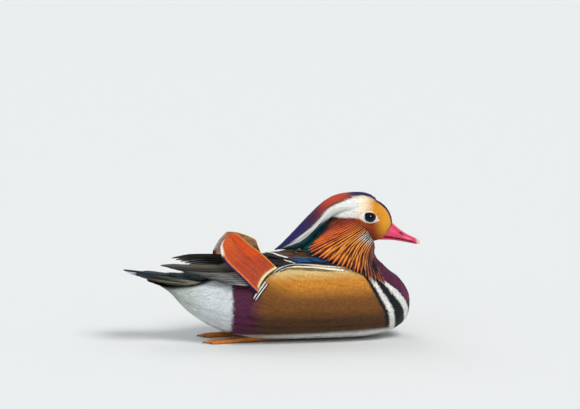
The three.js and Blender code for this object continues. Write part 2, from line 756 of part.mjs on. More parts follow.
// The tail: a fan of stiff feathers, the middle ones on top, with two tiers of coverts over them.
function tail(grow = 0) {
  const { root, tip } = RECTRICES;
  const up = v3(0, 0, 1);
  const pieces = [];
  for (const side of [RIGHT, LEFT]) {
    for (let k = 0; k < RECTRICES.perSide; k++) {
      const s = (k + 0.5) / (RECTRICES.perSide - 0.5);
      const low = RECTRICES.step * (k + (side === LEFT ? 1 : 0));
      const from = v3(root.x, side * s * root.y, root.z - low);
      const to = v3(tip.x + RECTRICES.trim * s * s, side * s * tip.y, tip.z - low);
      const path = [];
      for (let i = 0; i <= 4; i++) {
        const point = from.clone().lerp(to, i / 4);
        point.z = lerp(from.z, to.z, (i / 4) ** 1.35);
        path.push({ point, normal: up });
      }
      pieces.push(vane(path, { wide: RECTRICES.wide, thick: RECTRICES.thick, profile: NARROW }, grow));
    }
  }
  const core = TAIL_CORE.map(({ x, half, tall }) =>
    [-1, 0, 1].map((j) => ({ point: v3(x, j * half, tailTop(x) + 0.6 - tall / 2), normal: up, thick: tall })),
  );
  for (const tier of TAIL_COVERTS) {
    for (let k = 0; k < tier.count; k++) {
      const s = (2 * k) / (tier.count - 1) - 1;
      const path = [];
      for (let i = 0; i <= 3; i++) {
        const x = tier.x - (tier.reach * (1 - 0.2 * s * s) * i) / 3;
        const y = s * tier.half * (1 + 0.15 * (i / 3));
        const over = i === 0 ? 0 : tier.lift + 1.1 * (k % 2);
        const point = v3(x, y, tailTop(x) + over - 2 * s * s * (i > 0 ? 1 : 0));
        path.push({ point, normal: up });
      }
      pieces.push(vane(path, { wide: tier.wide, thick: 0.75, profile: ROUNDED }, grow));
    }
  }
  return join([sheet(core, grow), ...pieces]);
}

// The height of the tail's upper face along its middle.
function tailTop(x) {
  const { root, tip } = RECTRICES;
  const t = (x - root.x) / (tip.x - root.x);
  return t < 0 ? root.z - 28 * t : lerp(root.z, tip.z, t ** 1.35);
}

// A leg laid back under the belly: the shank, and a webbed foot folded flat on the floor.
function leg(side, grow = 0) {
  const out = (list) => list.map(([x, y, z]) => [x, side * y, z]);
  const [x, y] = LEG.shank[2];
  const pieces = [bar(out(LEG.shank), LEG.radius, 7, grow)];
  const endOf = (share) => [x - LEG.web * (1 - 0.3 * Math.abs(share)), y + share * LEG.spread, 1.2];
  for (const share of [-0.5, 0, 0.5]) {
    const end = endOf(share);
    const knuckle = [(x + end[0]) / 2, (y + end[1]) / 2, 2.2];
    pieces.push(bar(out([[x, y, 3.4], knuckle, end]), [2.6, 2.1, 1.2], 6, grow));
  }
  pieces.push(bar(out([[x + 4, y - 3, 3], [x - 2, y - 6, 1.8], [x - 8, y - 8, 1]]), [1.6, 1.4, 0.9], 6, grow));
  const web = [0.1, 0.37, 0.64, 0.91].map((t) =>
    [-0.5, -0.25, 0, 0.25, 0.5].map((share) => {
      const long = LEG.web * t * (1 - 0.3 * Math.abs(share));
      return { point: v3(x - long, side * (y + share * LEG.spread * t), 1.4), normal: v3(0, 0, 1), thick: 1.4 };
    }),
  );
  return join([...pieces, sheet(web, grow)]);
}

// Materials: the plumage of each part, horn, eye and skin of the feet

const plain = (color, roughness) => new THREE.MeshStandardMaterial({ color, roughness, metalness: 0 });
const materials = {
  body: plain(0x6e3438, 0.8),
  head: plain(0xd9b48c, 0.8),
  crest: plain(0x7a2b1e, 0.6),
  ruff: plain(0xc4511c, 0.8),
  flank: plain(0xc08a3e, 0.8),
  wing: plain(0x3a3427, 0.7),
  sail: plain(0xd8742a, 0.7),
  tail: plain(0x22303a, 0.6),
  bill: plain(0xd0334a, 0.4),
  eye: plain(0x140c0a, 0.1),
  foot: plain(0xc9741f, 0.5),
};

const duck = new THREE.Group();
function add(name, solid, material) {
  const mesh = new THREE.Mesh(geometryOf(solid).translate(AHEAD, 0, 0), material);
  mesh.name = name;
  duck.add(mesh);
}

const torsoRoom = form(TORSO, GAP);
const neckRoom = form(NECK, GAP);
const headRoom = form(HEAD, GAP);
const first = seed;
const crestRoom = again(first, () => crest(GAP));
const crestWhole = again(first, () => crest());
const tailRoom = tail(GAP);

add("torso", fit(form(TORSO), [floorCut]), materials.body);
add("neck", fit(form(NECK), [headRoom, crestRoom, torsoRoom]), materials.body);
add("head", fit(head(), [eyeball(RIGHT, GAP), eyeball(LEFT, GAP)]), materials.head);
add("crest", fit(crestWhole, [headRoom]), materials.crest);
add("bill_upper", fit(upperBill(), [headRoom, nostril(RIGHT), nostril(LEFT)]), materials.bill);
add("bill_lower", fit(form(LOWER_BILL), [headRoom, upperBill(GAP)]), materials.bill);
add("tail", fit(tail(), [torsoRoom]), materials.tail);
for (const [side, word] of [[RIGHT, "right"], [LEFT, "left"]]) {
  const inner = [headRoom, torsoRoom, neckRoom, crestRoom];
  const start = seed;
  const ruffRoom = again(start, () => ruff(side, GAP));
  const ruffWhole = again(start, () => ruff(side));
  const flankRoom = flank(side, GAP);
  const flankWhole = flank(side);
  const middle = seed;
  const wingRoom = again(middle, () => wing(side, GAP));
  const wingWhole = again(middle, () => wing(side));
  const primariesRoom = primaries(side, GAP);
  add(`eye_${word}`, eyeball(side), materials.eye);
  add(`ruff_${word}`, fit(ruffWhole, inner), materials.ruff);
  add(`flank_${word}`, fit(flankWhole, [...inner, floorCut, ruffRoom]), materials.flank);
  add(`wing_${word}`, fit(wingWhole, [...inner, flankRoom, ruffRoom]), materials.wing);
  add(`primaries_${word}`, fit(primaries(side), [torsoRoom, flankRoom, wingRoom, tailRoom]), materials.wing);
  add(`sail_${word}`, fit(sail(side), [torsoRoom, flankRoom, wingRoom, primariesRoom]), materials.sail);
  add(`leg_${word}`, fit(leg(side), [torsoRoom, floorCut, flankRoom]), materials.foot);
}

export default duck;
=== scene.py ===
"""A mandarin duck drake at rest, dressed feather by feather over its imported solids.

The numbers below are millimetres with +X towards the bill, +Y the bird's left and +Z up.
"""

import math

import bmesh
import bpy
import numpy as np
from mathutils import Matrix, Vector
from mathutils.bvhtree import BVHTree
from mathutils.kdtree import KDTree


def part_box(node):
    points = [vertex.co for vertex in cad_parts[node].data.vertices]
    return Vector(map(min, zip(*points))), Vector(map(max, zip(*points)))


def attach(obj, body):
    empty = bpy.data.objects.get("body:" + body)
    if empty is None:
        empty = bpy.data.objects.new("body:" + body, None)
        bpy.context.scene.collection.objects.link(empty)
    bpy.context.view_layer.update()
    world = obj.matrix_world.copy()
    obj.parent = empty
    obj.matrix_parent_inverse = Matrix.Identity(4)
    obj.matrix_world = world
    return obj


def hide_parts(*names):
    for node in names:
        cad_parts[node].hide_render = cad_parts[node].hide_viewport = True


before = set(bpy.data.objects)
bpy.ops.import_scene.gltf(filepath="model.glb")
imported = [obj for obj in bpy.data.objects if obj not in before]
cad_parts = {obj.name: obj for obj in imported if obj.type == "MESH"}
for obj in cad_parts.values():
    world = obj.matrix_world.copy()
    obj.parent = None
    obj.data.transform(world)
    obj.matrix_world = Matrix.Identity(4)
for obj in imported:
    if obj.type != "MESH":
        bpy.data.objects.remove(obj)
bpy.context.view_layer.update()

AHEAD = 1.65  # the whole bird stands this far ahead of its own numbers
RIGHT, LEFT = -1, 1
SIDES = {"right": RIGHT, "left": LEFT}
RAY_START = 200  # how far out a ray from one side starts

# The same forms and lines as the solids'. A form hangs between two rails of (x, z) places. At each it has
# half its width and the share of its height where it is widest. Upper and lower say how square it is there.

CREST = {
    "top": [(119, 152.5), (102, 159.4), (83, 160.2), (65, 156.5), (50, 146.8), (36, 134), (22, 119.8),
            (9, 106.9), (-1.5, 98.8)],
    "bottom": [(117, 145), (99, 140), (81, 138), (64, 133.5), (51.5, 121), (42, 107.5), (29.5, 98.5),
               (13, 97.5), (-1, 97)],
    "half": [6, 13, 16.5, 17, 16.2, 14.5, 11.5, 7.5, 2.2],
    "waist": [0.3, 0.3, 0.3, 0.4, 0.42, 0.45, 0.45, 0.45, 0.5],
    "upper": 1.8,
    "lower": 2.4,
}
UPPER_BILL = {
    "top": [(130, 127.6), (138.4, 119.9), (147.4, 113.4), (157, 108.3), (163, 104.4)],
    "bottom": [(117, 110.8), (130, 109.4), (142, 107.2), (153, 104.5), (162.4, 100.8)],
    "half": [8.6, 8, 6.9, 6.6, 3.4],
    "waist": [0.2, 0.2, 0.2, 0.25, 0.4],
    "upper": 2.1,
    "lower": 3,
}
LOWER_BILL = {
    "top": [(116, 110.5), (130, 109.1), (142, 106.9), (153, 104.2), (159.6, 101.9)],
    "bottom": [(114, 106.8), (129.4, 106.4), (141.6, 104.5), (152.8, 102.2), (159.5, 100.7)],
    "half": [7.4, 7, 6, 5.6, 3],
    "waist": [0.8, 0.8, 0.8, 0.8, 0.7],
    "upper": 3,
    "lower": 2.2,
}
NOSTRIL = {"x": 141.5, "z": 113.8, "long": 2.6, "deep": 1.5}
NAIL_X = 159.8
RUFF = {
    "root": [(86, 20.5, 133), (93, 21.3, 127), (101, 20, 119.5), (107, 15.5, 111), (110.5, 10, 103.5)],
    "middle": [(70, 21, 129.5), (66, 25.5, 114), (80, 29.5, 104), (96, 28, 95.5), (108.5, 18.5, 87.5)],
    "tip": [(53, 22.5, 121), (31, 29, 98.5), (62, 43.5, 83.5), (90, 46.5, 71.5), (118, 36, 60.5)],
    "over_flank": 3.6,
    "over_breast": 1.4,
}
SAIL = {
    RIGHT: {
        "rear": [(-28, 58.5), (-46, 77), (-61.5, 93), (-65, 106), (-61, 115)],
        "front": [(-4.5, 84.5), (-20.5, 99.7), (-32, 108.5), (-43, 118), (-51, 120.5)],
        "fold": 8,
    },
    LEFT: {
        "rear": [(-28, 58), (-46, 74), (-60.5, 88), (-57, 102), (-51, 112.5)],
        "front": [(-4.5, 84.5), (-11, 97), (-15.5, 105.5), (-29, 112), (-44, 116.5)],
        "fold": 3,
    },
    "out": [57.6, 55, 47, 37, 28],
    "low": 57,
    "high": 122,
}
PRIMARIES = {
    "count": 9,
    RIGHT: [
        [(-26, 41.5, 85.5), (-33, 54, 68)],
        [(-78, 28, 84), (-53, 46.5, 71.5)],
        [(-127, 8, 85.3), (-70, 37.5, 75)],
    ],
    LEFT: [
        [(-26, 41.5, 85.5), (-33, 54, 68)],
        [(-84, 20.5, 91), (-53, 46.5, 71.5)],
        [(-113, 3, 91.5), (-70, 37.5, 75)],
    ],
    "wide": (10.5, 8.5),
    "step": 0.42,  # how much lower each tip lies than the one before
}
RECTRICES = {
    "root": (-82, 9, 70.5),
    "tip": (-167, 29.5, 81),
    "per_side": 7,
    "wide": 12.5,
    "step": 1.1,  # how much lower each lies than the one before
    "trim": 22,  # how much shorter the outermost is
    "bend": 1.35,
}
FLANK = {
    "top": [(105, 59), (88, 70), (58, 81), (16, 84), (-5, 79.5), (-18, 68), (-28, 56)],
    "bottom": [(100, 29), (72, 23), (42, 21), (10, 22), (-14, 25), (-36, 35)],
    "core": 1.4,
}
LEG = {
    "shank": [(8, 21, 5), (-14, 22, 5), (-34, 22.5, 3.4)],
    "radius": [3.6, 3, 3.2],
    "web": 46,
    "spread": 15,
}

BODY_AXIS = [(-170, 76), (-60, 50), (40, 46), (110, 60), (165, 110)]

# Where the markings change, as (z, x) pairs on the breast and (x, z) pairs elsewhere
BREAST_BANDS = [
    [(10, 118), (34, 113.7), (42, 109), (57.8, 99.9), (72.2, 92.6), (80, 88)],
    [(10, 123), (33.4, 119), (49.6, 110.3), (68.2, 98.7), (77.6, 93.7), (82, 91)],
    [(10, 130), (33.4, 125.5), (40, 122.2), (65.8, 105.4), (77, 96.5), (82, 93)],
    [(10, 142), (33.4, 138.5), (44.1, 131.8), (63, 115), (74.2, 101.9), (82, 95)],
    [(10, 148.5), (32.4, 146.2), (43.1, 140.8), (56.2, 129.7), (66, 116.5), (74, 104.3), (82, 97)],
    [(10, 151), (32.4, 149), (43.1, 143.4), (54.9, 132.1), (66, 118.5), (74, 106.5), (82, 99)],
]
FLANK_LINE = [(-60, 78), (-22, 88), (-1, 88), (22, 87.5), (44, 86.5), (65, 84), (76, 81), (90, 74),
              (104, 61)]
BAND_TOP = [(-5, 94), (3.7, 98), (15.8, 104.9), (25, 112.4), (40.3, 124.5), (50.6, 136.4), (57.7, 144.7),
            (65, 148.6), (74.9, 152), (90, 156.9), (110, 160)]
BAND_FOOT = [(-5, 94.5), (11, 101.5), (27.3, 107.7), (38.4, 116.7), (44.1, 123), (52.7, 130.9),
             (61.7, 134.3), (73, 133.7), (91, 133.4)]
GREEN_FOOT = [(0, 84), (31.6, 95.9), (43.6, 105.7), (50.9, 119.6), (59.9, 128.1), (70.7, 134), (80, 133.4)]
CROWN = [(56, 152), (70, 158.4), (84, 160.4), (102, 158.6), (112, 154.2), (120, 149), (127, 141.4),
         (131.4, 132.4), (133.4, 125)]
FACE_EDGE = [(104, 119.2), (108, 121.6), (116, 126.4), (125, 131.6), (130, 134.4)]
RUFF_LINE = [(30, 140), (53, 131), (70, 133.5), (86, 134), (93, 128), (101, 120.5), (107, 112),
             (110.5, 104.5), (122, 92)]

draw = np.random.default_rng(20231)

# Small helpers


def metres(points):
    """The bird's own millimetres as metres in the shared frame."""
    return (np.asarray(points, float) + (AHEAD, 0, 0)) / 1000


def millimetres(points):
    """Metres in the shared frame as the bird's own millimetres."""
    return np.asarray(points, float) * 1000 - (AHEAD, 0, 0)


def unit(vectors):
    """Vectors of the same direction and a length of 1."""
    return vectors / np.maximum(np.linalg.norm(vectors, axis=-1, keepdims=True), 1e-9)


def circle(count):
    """Angles evenly round a circle."""
    return np.linspace(0, 2 * math.pi, count, endpoint=False)


def ramp(low, high, value):
    """0 below low, 1 above high, and smooth between."""
    t = np.clip((value - low) / (high - low), 0, 1)
    return t * t * (3 - 2 * t)


def hump(value, middle, wide):
    """1 at the middle, falling away smoothly to both sides."""
    return np.exp(-(((value - middle) / wide) ** 2))


def jitter(count, share):
    """Factors near 1 for sizes that differ a little from feather to feather."""
    return 1 + share * draw.standard_normal(count)


def pick(span, count):
    """Random numbers between the two of a span."""
    return span[0] + (span[1] - span[0]) * draw.random(count)


def along(line, value):
    """The second number of a line's points at a value of their first."""
    first, second = zip(*line)
    return np.interp(value, first, second)


def curve(points, t, held=False):
    """Places on a smooth line through points, for t from 0 to 1. A held line doesn't lean past its ends."""
    p = np.asarray(points, float)
    first = p[0] if held else 2 * p[0] - p[1]
    last = p[-1] if held else 2 * p[-1] - p[-2]
    p = np.concatenate([first[None], p, last[None]])
    spans = len(p) - 3
    k = np.clip(np.asarray(t, float), 0, 1) * spans
    i = np.minimum(k.astype(int), spans - 1)
    f = (k - i).reshape(k.shape + (1,) * (p.ndim - 1))
    a, b, c, d = p[i], p[i + 1], p[i + 2], p[i + 3]
    return 0.5 * (2 * b + (c - a) * f + (2 * a - 5 * b + 4 * c - d) * f**2 + (3 * b - a - 3 * c + d) * f**3)


def linear(code):
    """An sRGB hex colour as linear numbers."""
    c = np.array([int(code[i : i + 2], 16) for i in (1, 3, 5)]) / 255
    return np.where(c <= 0.04045, c / 12.92, ((c + 0.055) / 1.055) ** 2.4)


def blend(under, over, share):
    """One colour over another by a share for each point."""
    share = np.asarray(share, float)[..., None]
    return under + (over - under) * share


def layered(tint, *layers):
    """A tint with colours blended over it in turn; each layer is a colour and its share."""
    for colour, share in layers:
        tint = blend(tint, colour, share)
    return tint


def form_place(form, t, angle, grow=0.0):
    """Places on a form hung between two rails. The angle starts on the left, and 90 degrees is on top."""
    t, angle = np.broadcast_arrays(np.asarray(t, float), np.asarray(angle, float))
    top = curve(np.c_[form["top"], form["half"]], t)
    foot = curve(np.c_[form["bottom"], form["waist"]], t)
    up = top[..., :2] - foot[..., :2]
    tall = np.linalg.norm(up, axis=-1) + 2 * grow
    up = unit(up)
    over = np.sin(angle) >= 0
    power = 2 / np.where(over, form["upper"], form["lower"])
    rise = np.abs(np.sin(angle)) ** power
    waist = foot[..., 2]
    height = np.where(over, waist + (1 - waist) * rise, waist * (1 - rise)) * tall - grow
    flat = foot[..., :2] + up * height[..., None]
    y = np.sign(np.cos(angle)) * np.abs(np.cos(angle)) ** power * (top[..., 2] + grow)
    return np.stack([flat[..., 0], y, flat[..., 1]], -1)


# Meshes

FLOOR_GAP = 0.15  # the lowest that a feather of the coat lies
NO_TRIS = np.zeros((0, 3), int)


def tube(rings, first, last):
    """Rings of equal length joined into one closed surface, from a first point to a last."""
    count, sides = rings.shape[:2]
    points = np.concatenate([rings.reshape(-1, 3), [first, last]])
    j = np.arange(sides)
    k = (j + 1) % sides
    quads = [np.stack([i * sides + j, i * sides + k, (i + 1) * sides + k, (i + 1) * sides + j], 1)
             for i in range(count - 1)]
    end = (count - 1) * sides
    caps = [np.stack([np.full(sides, count * sides), k, j], 1),
            np.stack([np.full(sides, count * sides + 1), end + j, end + k], 1)]
    return points, np.concatenate(quads), np.concatenate(caps)


def form_tube(form, steps, sides, grow=0.0, span=(0, 1), ends=(0.5, 0.5)):
    """A form as a closed mesh, with its ends drawn out a little."""
    t = np.linspace(*span, steps)[:, None]
    angle = circle(sides)[None, :]
    rings = form_place(form, t, angle, grow)
    middles = rings.mean(1)
    first = middles[0] + unit(middles[0] - middles[1]) * ends[0]
    last = middles[-1] + unit(middles[-1] - middles[-2]) * ends[1]
    return tube(rings, first, last)


def sheet(points, normals, thick):
    """A closed sheet through a grid of points."""
    rows, columns = points.shape[:2]
    thick = np.broadcast_to(thick, (rows, columns))[..., None]
    over = points + normals * thick / 2
    under = points - normals * thick / 2
    both = np.concatenate([over.reshape(-1, 3), under.reshape(-1, 3)])
    at = np.arange(rows * columns).reshape(rows, columns)
    a, b, c, d = at[:-1, :-1], at[1:, :-1], at[1:, 1:], at[:-1, 1:]
    face = np.stack([a, b, c, d], -1).reshape(-1, 4)
    back = face[:, ::-1] + rows * columns
    rim = np.concatenate([at[0], at[1:, -1], at[-1, -2::-1], at[-2:0:-1, 0]])
    after = np.roll(rim, -1)
    wall = np.stack([rim, after, after + rows * columns, rim + rows * columns], 1)
    return both, np.concatenate([face, back, wall]), NO_TRIS


def merge(parts):
    """Several meshes as one, each given as its points, quads and tris."""
    points, quads, tris = zip(*parts)
    starts = np.cumsum([0] + [len(p) for p in points[:-1]])
    quads, tris = (np.concatenate([f + s for f, s in zip(faces, starts)]) for faces in (quads, tris))
    return np.concatenate(points), quads, tris


def make_mesh(name, points, quads, tris, tint=None, maps=None):
    """A smooth-shaded mesh object from millimetre points, with a colour and UV maps at each point."""
    mesh = bpy.data.meshes.new(name)
    mesh.vertices.add(len(points))
    mesh.vertices.foreach_set("co", metres(points).astype(np.float32).ravel())
    corners = np.concatenate([quads.ravel(), tris.ravel()]).astype(np.int32)
    starts = np.concatenate([np.arange(len(quads)) * 4, len(quads) * 4 + np.arange(len(tris)) * 3])
    mesh.loops.add(len(corners))
    mesh.loops.foreach_set("vertex_index", corners)
    mesh.polygons.add(len(starts))
    mesh.polygons.foreach_set("loop_start", starts.astype(np.int32))
    for key, places in (maps or {}).items():
        layer = mesh.uv_layers.new(name=key, do_init=False)
        layer.uv.foreach_set("vector", places[corners].astype(np.float32).ravel())
    mesh.update(calc_edges=True)
    mesh.validate()
    if tint is not None:
        colours = mesh.color_attributes.new("tint", "FLOAT_COLOR", "POINT")
        opaque = np.c_[np.clip(tint, 0, 1), np.ones(len(tint))]
        colours.data.foreach_set("color", opaque.astype(np.float32).ravel())
    mesh.shade_smooth()
    made = bpy.data.objects.new(name, mesh)
    bpy.context.scene.collection.objects.link(made)
    return made


def finish_piece(made, material, slot, *nodes):
    """Gives a piece its material, and hides the solids that it stands for. Its slot is not used."""
    made.data.materials.clear()
    made.data.materials.append(material)
    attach(made, "root")
    if nodes:
        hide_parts(*nodes)
    return made


def roll_out(points):
    """The unwrap that every piece bakes through: length against the angle round the body's own axis."""
    angle = np.arctan2(points[:, 1], along(BODY_AXIS, points[:, 0]) - points[:, 2])
    return np.c_[0.02 + 0.96 * (points[:, 0] + 175) / 345, 0.5 + 0.48 * angle / math.pi]


# Vanes. Every feather is a thin closed blade bent along a path

OUTLINES = {
    "rounded": [(0.0, 0.4), (0.18, 0.78), (0.42, 1.0), (0.66, 1.0), (0.84, 0.8), (0.95, 0.44)],
    "fur": [(0.0, 0.5), (0.35, 1.0), (0.7, 0.78), (0.92, 0.34)],
    "hackle": [(0.0, 0.5), (0.14, 0.8), (0.3, 1.0), (0.5, 0.95), (0.68, 0.74), (0.84, 0.48), (0.95, 0.2)],
    "lance": [(0.0, 0.4), (0.16, 0.55), (0.34, 0.75), (0.54, 0.95), (0.72, 1.0), (0.85, 0.74), (0.95, 0.34)],
    "plume": [(0.0, 0.5), (0.12, 0.8), (0.3, 1.0), (0.55, 1.0), (0.75, 0.86), (0.88, 0.6), (0.96, 0.3)],
    "strip": [(0.0, 0.3)] + [(k / 32, 1.0) for k in range(1, 30)] + [(0.95, 0.7), (0.98, 0.4)],
    "flight": [(0.0, 0.3), (0.08, 0.62), (0.2, 0.9), (0.35, 1.0), (0.5, 1.0), (0.65, 0.96), (0.78, 0.86),
               (0.87, 0.7), (0.94, 0.48), (0.985, 0.22)],
}


def vanes(paths, normals, widths, outline, columns=3, arch=0.25, thick=0.3, ragged=0.06, laid=False):
    """Many feathers at once, each along its own path of spots. Both faces of laid ones are lit alike."""
    count = len(paths)
    t, half = (np.array(v) for v in zip(*OUTLINES[outline]))
    lengths = np.linalg.norm(np.diff(paths, axis=1), axis=-1).sum(1)
    line = np.moveaxis(curve(np.moveaxis(paths, 1, 0), np.append(t, 1.0)), 0, 1)
    out = np.moveaxis(curve(np.moveaxis(normals, 1, 0), np.append(t, 1.0)), 0, 1)
    out = unit(out)
    way = unit(np.gradient(line, axis=1))
    across = unit(np.cross(way, out))
    over = np.linspace(-1, 1, columns)
    under = over[-2:0:-1]
    u = np.concatenate([over, under])
    rise = np.concatenate([1 - over**2, 1 - under**2])
    drop = np.concatenate([np.zeros(columns), np.sqrt(1 - under**2)])
    reach = widths[:, None] / 2 * half[None]
    reach = reach[..., None] * u * (1 + ragged * draw.standard_normal((count, len(t), 1)) * np.abs(u))
    height = arch * (widths[:, None] / 2 * half)[..., None] * rise - thick * drop
    rings = line[:, :-1, None] + across[:, :-1, None] * reach[..., None]
    rings = rings + out[:, :-1, None] * height[..., None]
    root = line[:, :1] - way[:, :1] * 0.2
    points = np.concatenate([rings.reshape(count, -1, 3), root, line[:, -1:]], 1)
    facing = unit(out[:, :-1, None] + across[:, :-1, None] * (2 * arch * over)[:, None])
    below = 1 if laid else -1
    behind = np.broadcast_to(below * out[:, :-1, None], facing[:, :, :len(under)].shape)
    facing = np.concatenate([facing, behind], 2).reshape(count, -1, 3)
    facing = np.concatenate([facing, out[:, :1], out[:, -1:]], 1)
    sides = len(u)
    _, quads, tris = tube(np.zeros((len(t), sides, 3)), np.zeros(3), np.zeros(3))
    each = points.shape[1]
    shift = (np.arange(count) * each)[:, None, None]
    own_t = np.concatenate([np.repeat(t, sides), [0, 1]])
    own_u = np.concatenate([np.tile(u, len(t)), [0, 0]])
    wide = np.concatenate([np.repeat(half, sides) * own_u[:-2], [0, 0]])
    return {
        "points": points,
        "facing": facing,
        "quads": (quads[None] + shift).reshape(-1, 4),
        "tris": (tris[None] + shift).reshape(-1, 3),
        "t": own_t,
        "u": own_u,
        "barbs": np.stack([wide[None] * widths[:, None] / 2, own_t[None] * lengths[:, None]], -1),
        "roots": paths[:, 0],
    }


def bake_patches(batch):
    """A small patch of the bake map for each feather, where its root lies on the body's unwrap."""
    patch = np.stack([batch["u"] * 0.0015, (batch["t"] - 0.5) * 0.003], -1)
    return (roll_out(batch["roots"])[:, None] + patch[None]).reshape(-1, 2)


def coat_piece(name, batches, material, slot, *nodes):
    """Batches of feathers as one object."""
    points, quads, tris = merge([(b["points"].reshape(-1, 3), b["quads"], b["tris"]) for b in batches])
    points[:, 2] = np.maximum(points[:, 2], FLOOR_GAP)
    keys = (("facing", 3), ("tint", 3), ("barbs", 2))
    facing, tint, barbs = (np.concatenate([b[k].reshape(-1, size) for b in batches]) for k, size in keys)
    bake = np.clip(np.concatenate([bake_patches(b) for b in batches]), 0.001, 0.999)
    made = make_mesh(name, points, quads, tris, tint, {"OFBake": bake, "Barbs": barbs})
    made.data.normals_split_custom_set_from_vertices(facing)
    return finish_piece(made, material, slot, *nodes)


def paint(batch, tint_of):
    """Colours a batch from a function of the points, their share of the length and of the half width."""
    points = batch["points"]
    count, each = points.shape[:2]
    t = np.broadcast_to(batch["t"], (count, each))
    u = np.broadcast_to(batch["u"], (count, each))
    mood = np.broadcast_to(draw.standard_normal((count, 1)), (count, each))
    tint = tint_of(points.reshape(-1, 3), t.ravel(), u.ravel(), mood.ravel())
    batch["tint"] = tint.reshape(count, each, 3)
    return batch


def plain(batch, colour):
    """Gives a batch one colour."""
    return paint(batch, lambda points, t, u, mood: np.tile(colour, (len(points), 1)))


# Colours of the plumage, as they look by daylight. In the tints below, the first two numbers of a ramp are
# where a marking begins and where it is full, in millimetres or as a share of a feather.

MAROON = linear("#4e1838")
PURPLE = linear("#6c2450")
INK = linear("#0b0a14")
WHITE = linear("#dcdcd6")
CREAM = linear("#f0e2c2")
STRAW = linear("#d2b673")
OCHRE = linear("#c07c22")
UMBER = linear("#6e4212")
BARK = linear("#3a2410")
OLIVE = linear("#4a4334")
TEAL = linear("#0a3a40")
SEA = linear("#0d5250")
NAVY = linear("#12184c")
COPPER = linear("#b43a1c")
WINE = linear("#6c1420")
PLUM = linear("#32103c")
GOLD = linear("#d28a20")
SAFFRON = linear("#e8a630")
RUST = linear("#9c3e0c")
CHESTNUT = linear("#6a260c")
FLAME = linear("#c43406")
ORANGE = linear("#e06a10")
STRAW_PALE = linear("#f6e6a4")
ASH = linear("#a9b0a4")
MOSS = linear("#5c6650")
STEEL = linear("#1a4c80")
SHADE = linear("#14070d")
BROW = linear("#e0a25e")
INDIGO = linear("#18145c")
SILVER = linear("#ccd2d4")
BRICK = linear("#a02a10")
BRONZE = linear("#b07c40")
SAIL_LOW = linear("#a43a16")
SAIL_HIGH = linear("#c85416")
SAIL_WEB = linear("#c2440e")
# Paler orange of the sails' inner faces: a painted glow, standing in for light through the thin vane.
SAIL_INNER_GLOW = linear("#ffc89c")
SAIL_SHAFT = linear("#7c2410")
SAIL_REAR = linear("#e06a34")

# The white, black and maroon bands on the side of the breast, from the flank forward
BAND_COLOURS = [INK, WHITE, INK, WHITE, INK]


def crown_line(x, y, z):
    """The dark line along the crown, which narrows ahead of the eyes."""
    line = curve(CROWN, np.linspace(0, 1, 80))
    close = np.full(len(x), 9.0)
    near = (z > 120) & (x > 60)
    close[near] = np.hypot(x[near, None] - line[None, :, 0], z[near, None] - line[None, :, 1]).min(1)
    narrow = np.maximum(ramp(112, 104, x), ramp(8, 6.5, np.abs(y)))
    wide = 1.9 + 1.3 * ramp(106, 114, x)
    return ramp(0.7, 0, close - wide) * ramp(80, 88, x) * narrow


def head_tint(points):
    """The head's and crest's markings, from where a point lies in the side view."""
    x, y, z = points.T
    top, foot, green = along(BAND_TOP, x), along(BAND_FOOT, x), along(GREEN_FOOT, x)
    cheek = 0.6 * np.exp(-(((x - 104) / 12) ** 2) - ((z - 118) / 8) ** 2)
    pale = layered(
        blend(WHITE, CREAM, ramp(86, 98, x)),
        (GOLD, ramp(96, 113, x + 0.25 * (150 - z))),
        (SAFFRON, 0.6 * ramp(112, 126, x)),
    )
    upper = ramp(-1.0, 1.0, z - np.where(x < 95, foot, 133.4 + 0.25 * (x - 95)))
    teal = layered(SEA, (NAVY, ramp(-5, 0, z - foot) * 0.8), (TEAL, ramp(30, 0, x)))
    low = ramp(-0.6, 0.6, foot - z) * ramp(0, 1, 78 - x)
    low = low * ramp(-1, 1, z - green) * ((x < 60) | (z < green + 30))
    red = layered(
        COPPER,
        (WINE, ramp(62, 44, x)),
        (PLUM, ramp(53, 38, x)),
        (INDIGO, ramp(42, 24, x)),
        (PLUM, ramp(76, 88, x)),
    )
    brow = ramp(84, 95, x) * ramp(141, 137.5, z) * ramp(131, 134, z) * ramp(112, 106, x)
    return layered(
        np.tile(RUST, (len(x), 1)),
        (CHESTNUT, cheek),
        (GOLD, ramp(104, 120, x + 0.25 * (z - 130))),
        (SAFFRON, 0.7 * ramp(112, 128, x) * ramp(112, 128, z)),
        (pale, upper),
        (teal, low),
        (NAVY, hump(z - foot, 2.3, 0.55) * ramp(40, 34, x)),
        (red, ramp(-0.7, 0.7, z - top) * (x < 92)),
        (INK, hump(z - top, 0.8, 0.9) * (x < 92)),
        (NAVY, crown_line(x, y, z)),
        (BROW, 0.75 * brow),
        (INK, ramp(-2.3, -1.5, x - along(FACE_EDGE, z))),
    )


def ring_tint(points, tint):
    """Adds the white ring round each eye, drawn out to a point before and behind it."""
    for side in (RIGHT, LEFT):
        dx = points[:, 0] - EYE[side]["middle"][0]
        dz = points[:, 2] - EYE[side]["middle"][2] - 0.9 + np.where(dx > 0, 0.035 * dx**2, 0.06 * dx)
        reach = np.where(dx > 0, 11.0, 14.0)
        tall = np.where(dz > 0, 6.4, 7.0)
        almond = tall * (1 - (np.abs(dx) / reach) ** 1.7)
        on = ramp(-0.4, 0.4, almond - np.abs(dz)) * (np.sign(points[:, 1]) == side) * (points[:, 0] > 80)
        tint = blend(tint, WHITE, on)
    return tint


